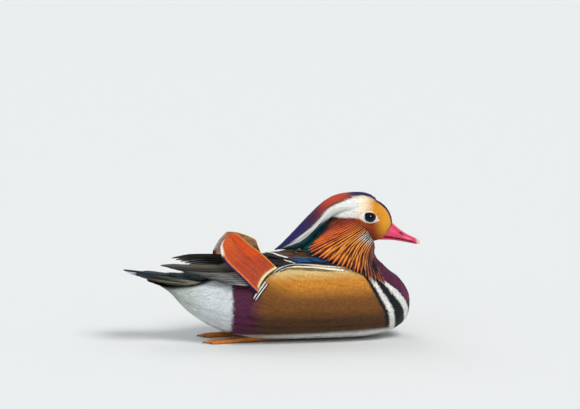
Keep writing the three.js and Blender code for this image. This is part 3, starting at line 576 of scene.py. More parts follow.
def body_tint(points):
    """The body's markings: maroon breast, banded sides, ochre flanks, white belly and vent, dark back."""
    x, y, z = points.T
    edges = [along(line, z) for line in BREAST_BANDS]
    line = along(FLANK_LINE, x)
    # Ochre flank, lighter at the top and darker below and towards the rear:
    # partly its own colours, partly painted light on top and painted shade below.
    flank = layered(
        OCHRE,
        (UMBER, ramp(69, 46, z)),
        (STRAW, ramp(69, 81, z)),
        (CREAM, 0.8 * ramp(77, 84, z)),
        (UMBER, 0.8 * ramp(20, -20, x) * ramp(78, 62, z)),
        (BARK, ramp(40, 26, z) * 0.8),
        (MAROON, ramp(-16, -40, x)),
    )
    bands = [(colour, ramp(0.5, -0.5, x - edge)) for colour, edge in zip(BAND_COLOURS, edges[1:])]
    back = blend(OLIVE, INK, ramp(6, 0, z - line) * 0.9)
    # Silver vent, greyer and mossier towards the tail: painted shade under the tail.
    vent = layered(SILVER, (ASH, ramp(-82, -104, x) * 0.6), (MOSS, ramp(-100, -128, x) * 0.8))
    return layered(
        np.tile(MAROON, (len(x), 1)),
        (PURPLE, 0.6 * ramp(60, 40, z) + 0.3 * ramp(120, 140, x)),
        *reversed(bands),
        (flank, ramp(0.5, -0.5, x - edges[0])),
        (WHITE, ramp(-2.0, -1.5, z - line) * ramp(62, 56, x) * (x > -30)),
        (back, ramp(-0.5, 0.5, z - line) * (x < 96)),
        (vent, ramp(-52.5, -54.5, x) * ramp(76, 74, z)),
        (INK, ramp(28, 22, np.abs(y)) * ramp(58, 64, z) * ramp(-30, -36, x)),
        (WHITE, ramp(17, 11, z + 0.03 * (140 - x)) * (x < 128)),
    )


def neck_tint(points):
    """Short feathers of the neck: rusty under the ruff, maroon in front, dark behind."""
    x, _, z = points.T
    return layered(
        np.tile(CHESTNUT, (len(x), 1)),
        (MAROON, ramp(104, 114, x)),
        (RUST, ramp(104, 96, x) * ramp(112, 120, z)),
        (TEAL, ramp(64, 56, x)),
    )


# The skin

SWELL = 0.4  # how far the solids are swollen before they are joined, which is then taken off again
COAT_DEPTH = {"head": 1.1, "body": 1.9}  # how deep the skin lies under the coat
VOXEL = 0.0016
SMOOTHINGS = 8


def flesh():
    """One closed surface over all of the flesh, a little inside the solids that it stands for."""
    mesh = bmesh.new()
    for name in ("torso", "neck", "head"):
        mesh.from_mesh(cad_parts[name].data)
    bmesh.ops.remove_doubles(mesh, verts=mesh.verts, dist=1e-6)
    mesh.normal_update()
    for vert in mesh.verts:
        vert.co += vert.normal * (SWELL / 1000)
    add_faces(mesh, form_tube(CREST, 30, 24, grow=-3.0, span=(0.06, 0.86), ends=(1, 2)))
    ground = BVHTree.FromBMesh(mesh)
    for side in SIDES.values():
        add_faces(mesh, flank_core(ground, side))
    raw = bpy.data.meshes.new("raw")
    mesh.to_mesh(raw)
    mesh.free()
    made = bpy.data.objects.new("raw", raw)
    bpy.context.scene.collection.objects.link(made)
    remesh = made.modifiers.new("remesh", "REMESH")
    remesh.mode = "VOXEL"
    remesh.voxel_size = VOXEL
    smooth = made.modifiers.new("smooth", "SMOOTH")
    smooth.factor = 0.5
    smooth.iterations = SMOOTHINGS
    bpy.context.view_layer.update()
    whole = bpy.data.meshes.new_from_object(made.evaluated_get(bpy.context.evaluated_depsgraph_get()))
    bpy.data.objects.remove(made)
    return whole


def add_faces(mesh, parts):
    """Adds a closed mesh in millimetres to one being built."""
    points, quads, tris = parts
    verts = [mesh.verts.new(p) for p in metres(points)]
    for face in [*quads, *tris]:
        mesh.faces.new([verts[i] for i in face])


def side_spots(ground, side, x, z):
    """Where rays from one side meet the ground, with the way out there."""
    inward = Vector((0, -side, 0))
    hits = [ground.ray_cast(Vector(metres((a, side * RAY_START, b))), inward) for a, b in zip(x, z)]
    return millimetres([h[0] for h in hits]), np.array([h[1] for h in hits])


def flank_core(ground, side):
    """The low swelling of the folded wing and flank under the flank's feathers."""
    rows, columns = 20, 10
    i, j = np.meshgrid(np.linspace(0, 1, rows), np.linspace(0, 1, columns) ** 0.75, indexing="ij")
    top = curve(FLANK["top"], i, held=True)
    foot = curve(FLANK["bottom"], i, held=True)
    place = foot + (top - foot) * j[..., None]
    points, normals = side_spots(ground, side, place[..., 0].ravel(), place[..., 1].ravel())
    edge = np.minimum(np.minimum(i, 1 - i), np.minimum(j, 1 - j))
    thick = 2 * (0.5 + FLANK["core"] * ramp(0, 0.25, edge))
    return sheet(points.reshape(rows, columns, 3), normals.reshape(rows, columns, 3), thick)


def on_head(points):
    """How far above the ruff's line a place is, up to 1 on the head."""
    return ramp(-3, 2, points[:, 2] - along(RUFF_LINE, points[:, 0])) * (points[:, 2] > 100)


class Ground:
    """The skin as the feathers find it, in millimetres."""

    def __init__(self, mesh):
        count = len(mesh.vertices)
        co = np.empty(count * 3)
        mesh.vertices.foreach_get("co", co)
        self.points = millimetres(co.reshape(-1, 3))
        self.normals = np.array([v.vector for v in mesh.vertex_normals])
        depth = np.where(on_head(self.points) > 0.5, COAT_DEPTH["head"], COAT_DEPTH["body"])
        self.points -= self.normals * (depth + SWELL)[:, None]
        faces = [tuple(p.vertices) for p in mesh.polygons]
        self.quads = np.array([f for f in faces if len(f) == 4])
        self.tris = np.array([f for f in faces if len(f) == 3], int).reshape(-1, 3)
        kinds = (self.quads, self.tris)
        self.face_normals = np.concatenate([unit(self.normals[faces].mean(1)) for faces in kinds])
        whole = self.quads.tolist() + self.tris.tolist()
        self.tree = BVHTree.FromPolygons([tuple(p) for p in self.points], whole)

    def nearest(self, points):
        hits = [self.tree.find_nearest(Vector(p)) for p in points]
        return np.array([h[0] for h in hits]), self.face_normals[[h[2] for h in hits]]

    def side_ray(self, side, x, z):
        """Where a level ray from one side meets the skin."""
        return self.tree.ray_cast(Vector((x, side * RAY_START, z)), Vector((0, -side, 0)))

    def scatter(self, wanted, spacing):
        """Places spread evenly over the skin where wanted says so, each spacing apart from the next."""
        a, b, c, d = (self.points[self.quads[:, k]] for k in range(4))
        area = np.linalg.norm(np.cross(c - a, d - b), axis=1) / 2
        middle = (a + b + c + d) / 4
        area = area * wanted(middle)
        number = int(area.sum() / spacing(middle).min() ** 2 * 4) + 1
        quad = draw.choice(len(area), size=number, p=area / area.sum())
        f, g = draw.random(number)[:, None], draw.random(number)[:, None]
        low = a[quad] + (b[quad] - a[quad]) * f
        high = d[quad] + (c[quad] - d[quad]) * f
        places = low + (high - low) * g
        places = places[wanted(places)]
        gaps = spacing(places)
        tree = KDTree(len(places))
        for i, p in enumerate(places):
            tree.insert(p, i)
        tree.balance()
        free = np.ones(len(places), bool)
        kept = []
        for i, p in enumerate(places):
            if not free[i]:
                continue
            kept.append(i)
            for _, other, _ in tree.find_range(p, gaps[i]):
                free[other] = False
        return places[kept]


def lie(points):
    """The way that the coat runs: back over head and body, down the neck and the front of the breast."""
    x, z = points[:, 0], points[:, 2]
    head = on_head(points)
    front = ramp(100, 140, x) * (1 - head)
    neck = ramp(88, 100, z) * (1 - head) * ramp(20, 60, x)
    way = np.tile((-1.0, 0.0, -0.1), (len(x), 1))
    way += front[:, None] * (0.45, 0, -0.8) + neck[:, None] * (0.4, 0, -1.0)
    return way


def lay(ground, roots, lengths, sink, lift, spots=4, sway=0.1):
    """Paths that follow the skin back from each root and rise a little towards their ends."""
    turn = sway * draw.standard_normal((len(roots), 1))
    at = roots
    paths, normals = [], []
    for _ in range(spots):
        place, normal = ground.nearest(at)
        way = lie(place)
        way = unit(way - normal * (way * normal).sum(1, keepdims=True))
        way = unit(way + np.cross(normal, way) * turn)
        paths.append(place)
        normals.append(normal)
        at = place + way * (lengths / (spots - 1))[:, None]
    share = np.linspace(0, 1, spots)[None, :, None] ** 0.8
    rise = -sink + (sink + lift[:, None, None]) * share
    normals = np.stack(normals, 1)
    return np.stack(paths, 1) + normals * rise, normals


def coat(
    ground, wanted, spacing, length, wide, lift, tint_of, outline="rounded", sink=0.6, arch=0.2, **shape
):
    """The feathers of one part of the coat; length, wide and spacing are in millimetres at each root."""
    roots = ground.scatter(wanted, lambda p: np.broadcast_to(spacing(p), len(p)))
    count = len(roots)
    lengths = length(roots) * jitter(count, 0.1)
    widths = wide(roots) * jitter(count, 0.08)
    rises = lift * jitter(count, 0.2)
    paths, normals = lay(ground, roots, lengths, sink, rises)
    batch = vanes(paths, normals, widths, outline, arch=arch, laid=True, **shape)

    def tint(points, t, u, mood):
        # A random tone for each feather, and painted shade towards its root, under the feathers that overlap
        # it.
        shade = 1 + 0.04 * mood - 0.08 * (1 - ramp(0.0, 0.5, t))
        return tint_of(points) * shade[:, None]

    return paint(batch, tint)


# Materials


def node(tree, kind, inputs=None, **settings):
    """Adds a node with its settings, and sets or links its inputs."""
    made = tree.nodes.new(kind)
    for key, value in settings.items():
        setattr(made, key, value)
    for key, value in (inputs or {}).items():
        if isinstance(value, bpy.types.NodeSocket):
            tree.links.new(value, made.inputs[key])
        else:
            made.inputs[key].default_value = value
    return made


def sums(tree, operation, *values):
    """The outcome of one operation on numbers or on other nodes' outcomes."""
    return node(tree, "ShaderNodeMath", dict(enumerate(values)), operation=operation).outputs[0]


def spread(tree, value, low, high, to_low=0.0, to_high=1.0):
    """A value between low and high, spread over another range."""
    ends = {"From Min": low, "From Max": high, "To Min": to_low, "To Max": to_high}
    return node(tree, "ShaderNodeMapRange", {"Value": value, **ends}).outputs[0]


def on_piece(tree):
    """Places fixed to the piece itself, in metres."""
    return node(tree, "ShaderNodeTexCoord").outputs["Object"]


def grain(tree, place, scale, detail, roughness=0.5):
    """Cloudy noise at a place."""
    inputs = {"Vector": place, "Scale": scale, "Detail": detail, "Roughness": roughness}
    return node(tree, "ShaderNodeTexNoise", inputs).outputs[0]


def painted(tree, lit=None):
    """The colour painted on the piece's points, times a brightness where one is given."""
    tint = node(tree, "ShaderNodeAttribute", attribute_name="tint").outputs["Color"]
    if lit is None:
        return tint
    return node(tree, "ShaderNodeVectorMath", {0: tint, "Scale": lit}, operation="SCALE").outputs[0]


def mixed(tree, share, low, high):
    """A mix of two colours, which are the mix node's sockets 6 and 7."""
    inputs = {"Factor": share, 6: (*low, 1), 7: (*high, 1)}
    return node(tree, "ShaderNodeMix", inputs, data_type="RGBA").outputs[2]


def surface(name, sockets, look):
    """A material with fixed values on its shader, and a colour and relief from the nodes that look adds."""
    material = bpy.data.materials.new(name)
    material.use_nodes = True
    tree = material.node_tree
    shader = tree.nodes["Principled BSDF"]
    for key, value in sockets.items():
        shader.inputs[key].default_value = value
    colour, relief = look(tree)
    tree.links.new(colour, shader.inputs["Base Color"])
    if relief:
        bump = node(tree, "ShaderNodeBump", dict(zip(("Height", "Distance", "Strength"), relief)))
        tree.links.new(bump.outputs[0], shader.inputs["Normal"])
    return material


def barbed_vane(
    name, pitch, depth, roughness, sheen, speck=0.0, speck_size=1.2, gloss=0.5, contrast=0.08
):
    """Keratin barbs set side by side along a shaft: fine slanting lines, a soft edge sheen, a matt depth."""

    def look(tree):
        place = node(tree, "ShaderNodeUVMap", uv_map="Barbs").outputs[0]
        parts = node(tree, "ShaderNodeSeparateXYZ", {"Vector": place}).outputs
        side = sums(tree, "ABSOLUTE", parts[0])
        slant = sums(tree, "MULTIPLY_ADD", side, -1.1, parts[1])
        wave = sums(tree, "SINE", sums(tree, "MULTIPLY", slant, 2 * math.pi / pitch))
        shaft = spread(tree, side, 0.1, 0.35, 1.0, 0.0)
        barbs = spread(tree, wave, -1.0, 1.0, 1 - contrast, 1 + contrast / 2)
        specks = spread(tree, grain(tree, on_piece(tree), 1000 / speck_size, 3.0, 0.6),
                        0.35, 0.65, 1.0 - speck, 1.0 + speck)
        lit = sums(tree, "MULTIPLY_ADD", shaft, 0.25, sums(tree, "MULTIPLY", barbs, specks))
        height = sums(tree, "MULTIPLY_ADD", shaft, 1.5, wave)
        return painted(tree, lit), (height, depth / 1000, 0.6)

    sockets = {
        "Roughness": roughness,
        "Specular IOR Level": gloss,
        "IOR": 1.55,
        "Sheen Weight": sheen,
        "Sheen Roughness": 0.4,
    }
    return surface(name, sockets, look)


def down_skin():
    """Skin with its under-down, matt and mottled, seen only in the gaps between feathers."""

    def look(tree):
        mottle = grain(tree, on_piece(tree), 700.0, 4.0)
        return painted(tree, spread(tree, mottle, 0.3, 0.7, 0.75, 1.0)), (mottle, 0.0002, 0.4)

    return surface("skin under down", {"Roughness": 0.85, "IOR": 1.5}, look)


def bill_keratin():
    """Smooth living horn, crimson with a paler nail; a satin surface with faint lengthwise lines."""

    def look(tree):
        place = node(tree, "ShaderNodeMapping", {"Vector": on_piece(tree), "Scale": (120, 900, 900)})
        lines = grain(tree, place.outputs[0], 1.0, 5.0)
        return painted(tree, spread(tree, lines, 0.3, 0.7, 0.84, 1.12)), (lines, 0.00025, 0.5)

    sockets = {
        "Roughness": 0.34,
        "IOR": 1.55,
        "Subsurface Weight": 0.12,
        "Subsurface Radius": (0.003, 0.001, 0.0008),
        "Subsurface Scale": 1.0,
        "Coat Weight": 0.15,
        "Coat Roughness": 0.2,
    }
    return surface("bill keratin", sockets, look)


def foot_skin():
    """Scaly orange skin: small flat scutes a millimetre and a half apart, leathery and slightly damp."""

    def look(tree):
        inputs = {"Vector": on_piece(tree), "Scale": 650.0}
        cells = node(tree, "ShaderNodeTexVoronoi", inputs, feature="DISTANCE_TO_EDGE")
        scute = spread(tree, cells.outputs["Distance"], 0.0, 0.2)
        return mixed(tree, scute, linear("#a4541a"), linear("#e0882a")), (scute, 0.0003, 0.7)

    return surface("foot skin", {"Roughness": 0.45, "IOR": 1.45}, look)


def claw_horn():
    """Dark claw keratin, smooth and a little glossy, with growth lines a third of a millimetre apart."""

    def look(tree):
        inputs = {"Vector": on_piece(tree), "Scale": 900.0, "Distortion": 2.0}
        lines = node(tree, "ShaderNodeTexWave", inputs).outputs["Fac"]
        return mixed(tree, lines, linear("#241a14"), linear("#3a2c20")), (lines, 0.0001, 0.5)

    return surface("claw horn", {"Roughness": 0.35, "IOR": 1.54}, look)


def wet_eye():
    """A wet, clear cornea over a dark brown iris and black pupil: nearly black, with one sharp light."""
    sockets = {"Roughness": 0.08, "IOR": 1.38, "Specular IOR Level": 0.3}
    return surface("wet eye", sockets, lambda tree: (painted(tree), None))


VELVET = barbed_vane("velvet face feathers", pitch=0.9, depth=0.05, roughness=0.8, sheen=0.04, gloss=0.12)
CONTOUR = barbed_vane(
    "contour feathers", pitch=1.0, depth=0.1, roughness=0.7, sheen=0.03, speck=0.12, speck_size=2.0, gloss=0.2
)
VERMICULATED = barbed_vane(
    "vermiculated flank feathers", pitch=1.1, depth=0.08, roughness=0.7, sheen=0.03, speck=0.22,
    speck_size=1.6, gloss=0.2
)
SILK = barbed_vane("silky crest feathers", pitch=1.2, depth=0.1, roughness=0.42, sheen=0.02, gloss=0.3)
HACKLE = barbed_vane(
    "loose hackles", pitch=0.9, depth=0.06, roughness=0.55, sheen=0.02, gloss=0.2, contrast=0.05
)
STIFF = barbed_vane(
    "stiff flight vanes", pitch=1.6, depth=0.15, roughness=0.5, sheen=0.02, speck=0.14, gloss=0.25
)
SAIL_VANE = barbed_vane(
    "sail vane", pitch=1.8, depth=0.12, roughness=0.6, sheen=0.02, speck=0.14, speck_size=3.0, gloss=0.2
)
SKIN = down_skin()
BILL = bill_keratin()
FOOT = foot_skin()
EYE_WET = wet_eye()
CLAW = claw_horn()

# Eyes first, as the ring round them needs their places


def eye_places():
    """The middle and radius of each eye's solid."""
    places = {}
    for word, side in SIDES.items():
        low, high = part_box(f"eye_{word}")
        middle = millimetres((np.array(low) + np.array(high)) / 2)
        places[side] = {"middle": middle, "radius": float((high.z - low.z) * 500)}
    return places


EYE = eye_places()

# The body and its coat

RUMP_START = -42  # where the coat of the rear begins
TAIL_START = -106  # where it gives way to the tail's own feathers
BELLY_TOP = 11  # how high the belly's coat reaches


def flat(value):
    """A size that is the same at every root."""
    return lambda points: np.full(len(points), float(value))


def sized(breast, flank):
    """A size that grows from the breast to the flank."""
    return lambda points: breast + (flank - breast) * ramp(120, 50, points[:, 0])


def tapered(vent, tip):
    """A size that shrinks from the vent to the tip of the rump."""
    return lambda points: vent + (tip - vent) * ramp(-80, -110, points[:, 0])


def off_eye(points):
    """True where a place is clear of both eyes' lids."""
    free = np.ones(len(points), bool)
    for side in (RIGHT, LEFT):
        away = points - EYE[side]["middle"]
        inside = (away[:, 0] / 7.6) ** 2 + (away[:, 2] / 6.0) ** 2 < 1
        free &= ~(inside & (points[:, 1] * side > 0))
    return free


# Which places on the skin each part of the coat covers


def face(points):
    x, _, z = points.T
    return (on_head(points) > 0.5) & (z < along(BAND_TOP, x) + 3) & (x > 52) & off_eye(points) & (x < 135)


def throat(points):
    x, _, z = points.T
    low = np.interp(x, [20, 60, 104, 128, 140], [93, 91, 88, 78, 70])
    high = np.where(x < 72, along(GREEN_FOOT, x) + 4, 200)
    return (on_head(points) <= 0.5) & (z > low) & (z < high) & (x > 18)


def side_of(points):
    x, _, z = points.T
    on = ~throat(points) & (x > RUMP_START) & (z > BELLY_TOP) & (on_head(points) <= 0.5)
    return on & ((x > 84) | (z < along(FLANK_LINE, x) + 3))


def right_flank(points):
    return side_of(points) & (points[:, 1] < 0)


def left_flank(points):
    return side_of(points) & (points[:, 1] >= 0)


def belly(points):
    return (points[:, 0] > RUMP_START) & (points[:, 2] <= BELLY_TOP)


def back(points):
    x, _, z = points.T
    return (x <= 84) & (x > RUMP_START) & (z >= along(FLANK_LINE, x) + 3) & ~throat(points) & (z < 100)


def rear(points):
    return (points[:, 0] <= RUMP_START) & (points[:, 0] > TAIL_START) & (points[:, 2] < 100)


def face_length(points):
    """Under 2 mm at the bill and round the eye, up to 5 mm on the crown and cheek."""
    away = np.min([np.linalg.norm(points - EYE[s]["middle"], axis=1) for s in (RIGHT, LEFT)], axis=0)
    from_bill = 2.0 + 0.07 * np.maximum(0, 134 - points[:, 0])
    return np.minimum(from_bill, 1.6 + 0.32 * np.maximum(0, away - 6))


def face_spacing(points):
    return 0.55 + 0.16 * face_length(points)


def face_width(points):
    return 0.8 + 0.26 * face_length(points)


def face_tint(points):
    return ring_tint(points, head_tint(points))


def skin_tint(points):
    """The markings of the whole skin, for the gaps between feathers and for the neck."""
    x, _, z = points.T
    crest = (z > along(GREEN_FOOT, x) + 1) & (x < 70) & (z > 97)
    head = (on_head(points) > 0.5) | crest
    high = throat(points)
    tint = body_tint(points)
    tint[high] = neck_tint(points[high])
    tint[head] = face_tint(points[head])
    return tint


ground = Ground(flesh())
skin_maps = {"OFBake": roll_out(ground.points)}
skin = make_mesh("skin", ground.points, ground.quads, ground.tris, skin_tint(ground.points), skin_maps)
finish_piece(skin, SKIN, "body_plumage", "torso", "neck", "head")


def cover(name, material, slot, *sizes, **shape):
    """One part of the coat as a piece."""
    coat_piece(name, [coat(ground, *sizes, **shape)], material, slot)


# Each part's spacing, length, width and lift come first, then its tint and the shape of its feathers
FUR = dict(outline="fur", sink=0.4, arch=0.12, thick=0.12)
SLEEK = dict(columns=5, sink=0.05, arch=0.03)
sizes = face_spacing, face_length, face_width, 0.25
cover("face_feathers", VELVET, "head_plumage", face, *sizes, face_tint, **FUR)
cover("neck_feathers", CONTOUR, "ruff_plumage", throat, flat(2.6), flat(10), flat(4.5), 1.0, skin_tint)
sizes = sized(2.2, 2.8), sized(10, 17), sized(6.4, 9.5), 0.4
for word, part in (("right", right_flank), ("left", left_flank)):
    name = f"side_feathers_{word}"
    cover(name, VERMICULATED, "flank_plumage", part, *sizes, body_tint, thick=0.32, **SLEEK)
sizes = flat(4), flat(14), flat(9), 0.4
cover("belly_feathers", CONTOUR, "body_plumage", belly, *sizes, body_tint, sink=0.05, arch=0.05)
cover("back_feathers", CONTOUR, "wing_plumage", back, flat(5), flat(15), flat(10), 0.8, body_tint)
sizes = flat(3.0), tapered(17, 7), tapered(9.5, 5), 0.4
cover("vent_feathers", CONTOUR, "body_plumage", rear, *sizes, body_tint, thick=0.5, **SLEEK)

# Crest


def crest_batch(count, start, stop, wide, deep, turn, root=2.4, spots=7):
    """Long feathers over the crest, between two shares of its length, turned from its top by up to turn."""
    s = (np.arange(count) + 0.5) / count
    angle = np.radians(90 + (2 * s - 1) * turn + 3 * draw.standard_normal(count))
    first, last = pick(start, count), pick(stop, count)
    t = first[:, None] + (last - first)[:, None] * np.linspace(0, 1, spots)[None]
    spread_out = angle[:, None] + 0 * t
    here = form_place(CREST, t, spread_out)
    ahead = form_place(CREST, np.minimum(t + 0.01, 1), spread_out) - form_place(CREST, t - 0.01, spread_out)
    beside = form_place(CREST, t, spread_out + 0.03) - form_place(CREST, t, spread_out - 0.03)
    out = unit(np.cross(ahead, beside))
    inside = form_place(CREST, t, np.full_like(t, math.pi / 2)) * 0.5
    inside += form_place(CREST, t, np.full_like(t, -math.pi / 2)) * 0.5
    out *= np.sign(((here - inside) * out).sum(-1, keepdims=True))
    sunk = -deep - 0.07 * draw.standard_normal((count, 1)) + 0 * t
    sunk[:, 0] = -root
    sunk[:, -1] -= 0.3
    path = here + out * sunk[..., None]
    shape = dict(columns=5, arch=0.08, thick=0.12, ragged=0.03)
    return vanes(path, out, wide * jitter(count, 0.12), "hackle", **shape)


def crest_tint(points, t, u, mood):
    """The head's markings, with painted shade at the edges of the feathers along the top."""
    shade = 1 + 0.05 * mood - 0.1 * u * u * (points[:, 2] > along(BAND_TOP, points[:, 0]))
    return head_tint(points) * shade[:, None]


CREST_ROWS = [
    dict(count=60, start=(0.03, 0.08), stop=(0.3, 0.42), wide=4.6, deep=0.4, turn=88, root=1.6),
    dict(count=80, start=(0.12, 0.24), stop=(0.5, 0.62), wide=4.8, deep=0.7, turn=112),
    dict(count=90, start=(0.28, 0.4), stop=(0.66, 0.84), wide=4.8, deep=1.0, turn=140),
    dict(count=100, start=(0.42, 0.56), stop=(0.84, 0.99), wide=4.4, deep=1.2, turn=170),
    dict(count=60, start=(0.5, 0.62), stop=(0.93, 1.0), wide=4, deep=1.9, turn=180, root=3),
]
crest = [paint(crest_batch(**row), crest_tint) for row in CREST_ROWS]
coat_piece("crest_feathers", crest, SILK, "crest_plumage", "crest")

# Ruff


def keep_off(points, side):
    """Moves places on one side out until they clear the body under them."""
    flatter = points.reshape(-1, 3)
    hits = [ground.side_ray(side, x, z)[0] for x, _, z in flatter]
    skin_y = np.array([0 if hit is None else abs(hit.y) for hit in hits])
    over = np.where(flatter[:, 0] < 108, RUFF["over_flank"], RUFF["over_breast"]) + 1.2
    least = (skin_y + over) * ramp(104, 96, flatter[:, 2])
    flatter[:, 1] = side * np.maximum(np.abs(flatter[:, 1]), least)
    return flatter.reshape(points.shape)


def ruff_batch(side, row, spots=8):
    """One tier of hackles fanned over the neck between their roots' line and their tips' line."""
    count = row["count"]
    s = np.clip((np.arange(count) + 0.5 + row["shift"] + 0.12 * draw.standard_normal(count)) / count, 0, 1)
    mirror = np.array((1, side, 1))
    keys = ("root", "middle", "tip")
    lines = np.stack([curve(RUFF[k], s) * mirror for k in keys])
    near, far = np.clip(s + 0.03, 0, 1), np.clip(s - 0.03, 0, 1)
    beside = np.stack([(curve(RUFF[k], near) - curve(RUFF[k], far)) * mirror for k in keys])
    first, last = pick(row["start"], count), pick(row["stop"], count)
    share = first[:, None] + (last - first)[:, None] * np.linspace(0, 1, spots)
    path = np.stack([curve(lines[:, k], share[k]) for k in range(count)])
    across = np.stack([curve(beside[:, k], share[k]) for k in range(count)])
    out = unit(np.cross(np.gradient(path, axis=1), across))
    out *= np.sign((out * (0.2, side, 0.3)).sum(-1, keepdims=True))
    settled = row["lift"] * (1 - 0.7 * ramp(0.75, 1.0, s)[:, None])
    rise = settled + 0.2 * draw.standard_normal((count, 1)) + 0 * share
    rise[:, 0] = -0.6
    path = path + out * rise[..., None]
    path[:, 1:] = keep_off(path[:, 1:], side)
    apart = np.linalg.norm(across[:, spots * 3 // 4], axis=-1) / 0.06 / count
    widths = row["wide"] * apart * jitter(count, 0.08)
    batch = vanes(path, out, widths, "lance", columns=5, arch=0.4)
    batch["fan"] = np.repeat(s, batch["points"].shape[1])
    batch["reach"] = (first[:, None] + (last - first)[:, None] * batch["t"]).ravel()
    return batch


def ruff_paint(batch, dark):
    """Painted shade between the hackles; shafts white by the throat, gold along the middle and fiery at the
    tips.
    """
    s, f = batch["fan"], batch["reach"]

    def tint(points, t, u, mood):
        white = ramp(0.42, 0.52, s) * ramp(0.36, 0.2, f)
        vane = layered(
            FLAME,
            (ORANGE, 0.6 * ramp(0.15, 0.5, s) * ramp(1.0, 0.6, f)),
            (BRICK, ramp(0.4, 0.05, s) * ramp(1.0, 0.5, f)),
            # Near black beside the white shafts by the throat: painted shade between the hackles.
            (SHADE, 0.8 * white),
        )
        shaft = layered(
            ORANGE,
            (SAFFRON, 0.65 * ramp(0.15, 0.4, s) * ramp(1.0, 0.8, f)),
            (WHITE, white * ramp(0.8, 0.7, s)),
            (RUST, ramp(0.16, 0.06, s)),
        )
        # The hackles' edges, dark wine to near black: painted shade between them.
        edge = blend(WINE * 0.5, SHADE, ramp(0.2, 0.45, s))
        colour = layered(
            vane,
            (shaft, ramp(0.45, 0.1, np.abs(u))),
            (MAROON, 0.8 * ramp(0.7, 0.84, s) * ramp(1.0, 0.8, f)),
            (edge, ramp(0.16, 0.7, np.abs(u))),
            (edge, dark),
        )
        return colour * (1 + 0.08 * mood)[:, None]

    return paint(batch, tint)


# A row's dark is how much of its hackles is painted shade.
RUFF_ROWS = [
    dict(count=27, shift=0, start=(0.0, 0.03), stop=(0.5, 0.62), lift=2.7, wide=1.1, dark=0.0),
    dict(count=27, shift=0, start=(0.08, 0.16), stop=(0.66, 0.8), lift=2.1, wide=1.1, dark=0.0),
    dict(count=27, shift=0, start=(0.2, 0.3), stop=(0.82, 0.93), lift=1.5, wide=1.15, dark=0.0),
    dict(count=27, shift=0, start=(0.32, 0.42), stop=(0.94, 1.0), lift=0.9, wide=1.2, dark=0.0),
    dict(count=27, shift=0.5, start=(0.1, 0.3), stop=(0.8, 0.97), lift=0.4, wide=0.9, dark=0.5),
    # Under the rest, nearly all painted shade, to darken the gaps between hackles.
    dict(count=24, shift=0.2, start=(0.02, 0.1), stop=(0.8, 0.94), lift=-0.4, wide=1.7, dark=0.97),
]
for word, side in SIDES.items():
    hackles = [ruff_paint(ruff_batch(side, row), row["dark"]) for row in RUFF_ROWS]
    coat_piece(f"ruff_hackles_{word}", hackles, HACKLE, "ruff_plumage", f"ruff_{word}")

# Wings: scapulars and tertials over the back, flight feathers behind, and the sails

RAY_TOP = 300  # how high above the back a ray down to it starts


def torso_alone():
    """The torso's own surface, for feathers that lie under the crest."""
    mesh = bmesh.new()
    mesh.from_mesh(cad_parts["torso"].data)
    tree = BVHTree.FromBMesh(mesh)
    mesh.free()
    return tree


def mound(x, y):
    """How far the folded wing's feathers stand up beside the sails and under the crest's tip."""
    beside = np.where(y < 0, 6.5, 2.0) * hump(x, -14, 26) * hump(np.abs(y), 20, 17)
    return beside + 6.0 * hump(x, 25, 20) * hump(y, 0, 15)


def on_back(x, y, lift):
    """Places over the back, with the way out there."""
    down = Vector((0, 0, -1))
    hits = [BACK.ray_cast(Vector(metres((a, b, RAY_TOP))), down) for a, b in zip(x.ravel(), y.ravel())]
    place = millimetres([h[0] for h in hits]).reshape(x.shape + (3,))
    normal = np.array([h[1] for h in hits]).reshape(x.shape + (3,))
    return place + normal * (lift + mound(x, y))[..., None], normal


def back_paths(side, x, y, reach, lift, count, spots=6, drift=2.0):
    """Feathers side by side over the back, from roots between two x and two y, lying back by reach."""
    t = np.linspace(0, 1, count)
    start = np.c_[x[0] + (x[1] - x[0]) * t, y[0] + (y[1] - y[0]) * t]
    length = reach[0] + (reach[1] - reach[0]) * t + 1.5 * draw.standard_normal(count)
    share = np.linspace(0, 1, spots)
    px = start[:, :1] - length[:, None] * share
    py = side * (start[:, 1:] + drift * share)
    rise = np.linspace(lift[0], lift[1], spots)[None] + 0.25 * draw.standard_normal((count, 1))
    rise[:, 0] = -1.5
    return on_back(px, py, rise)


BACK = torso_alone()
WING_ROWS = [
    # The tertials by the sail, then five rows of scapulars from the rear forward
    dict(count=5, x=(-10, -6), y=(12, 36), reach=(66, 52), lift=(1.8, 3.2), wide=11),
    dict(count=7, x=(8, -2), y=(6, 34), reach=(46, 42), lift=(1.0, 1.6), wide=11),
    dict(count=7, x=(24, 16), y=(8, 34.5), reach=(46, 42), lift=(1.6, 2.4), wide=10.5),
    dict(count=7, x=(40, 30), y=(6, 34), reach=(42, 38), lift=(2.2, 3.1), wide=10),
    dict(count=7, x=(56, 46), y=(7, 33.5), reach=(38, 34), lift=(2.8, 3.9), wide=9.5),
    dict(count=6, x=(68, 60), y=(6, 32), reach=(30, 28), lift=(3.2, 4.6), wide=9),
]


def scapular_tint(points, t, u, mood):
    """Olive-brown vanes with dark edges, a steel-blue gloss over the flank and a dark patch by the sail."""
    x, y, _ = points.T
    y, u = np.abs(y), np.abs(u)
    tint = layered(
        OLIVE,
        (UMBER * 0.8, ramp(-1, 1.5, mood)),
        (STEEL, ramp(0.2, 0.6, ramp(4, 18, x) * ramp(24, 34, y))),
        (NAVY, 0.4 * ramp(40, 60, x)),
        (INK, 0.8 * ramp(12, 4, x) * ramp(-34, -24, x) * ramp(24, 30, y)),
        (INK, ramp(0.6, 0.95, u) * 0.8),
        (INK, ramp(0.84, 0.97, t) * 0.7),
    )
    # A random tone for each feather, and painted shade towards its root, under the row in front of it.
    return tint * (1 + 0.08 * mood - 0.2 * (1 - ramp(0, 0.4, t)))[:, None]


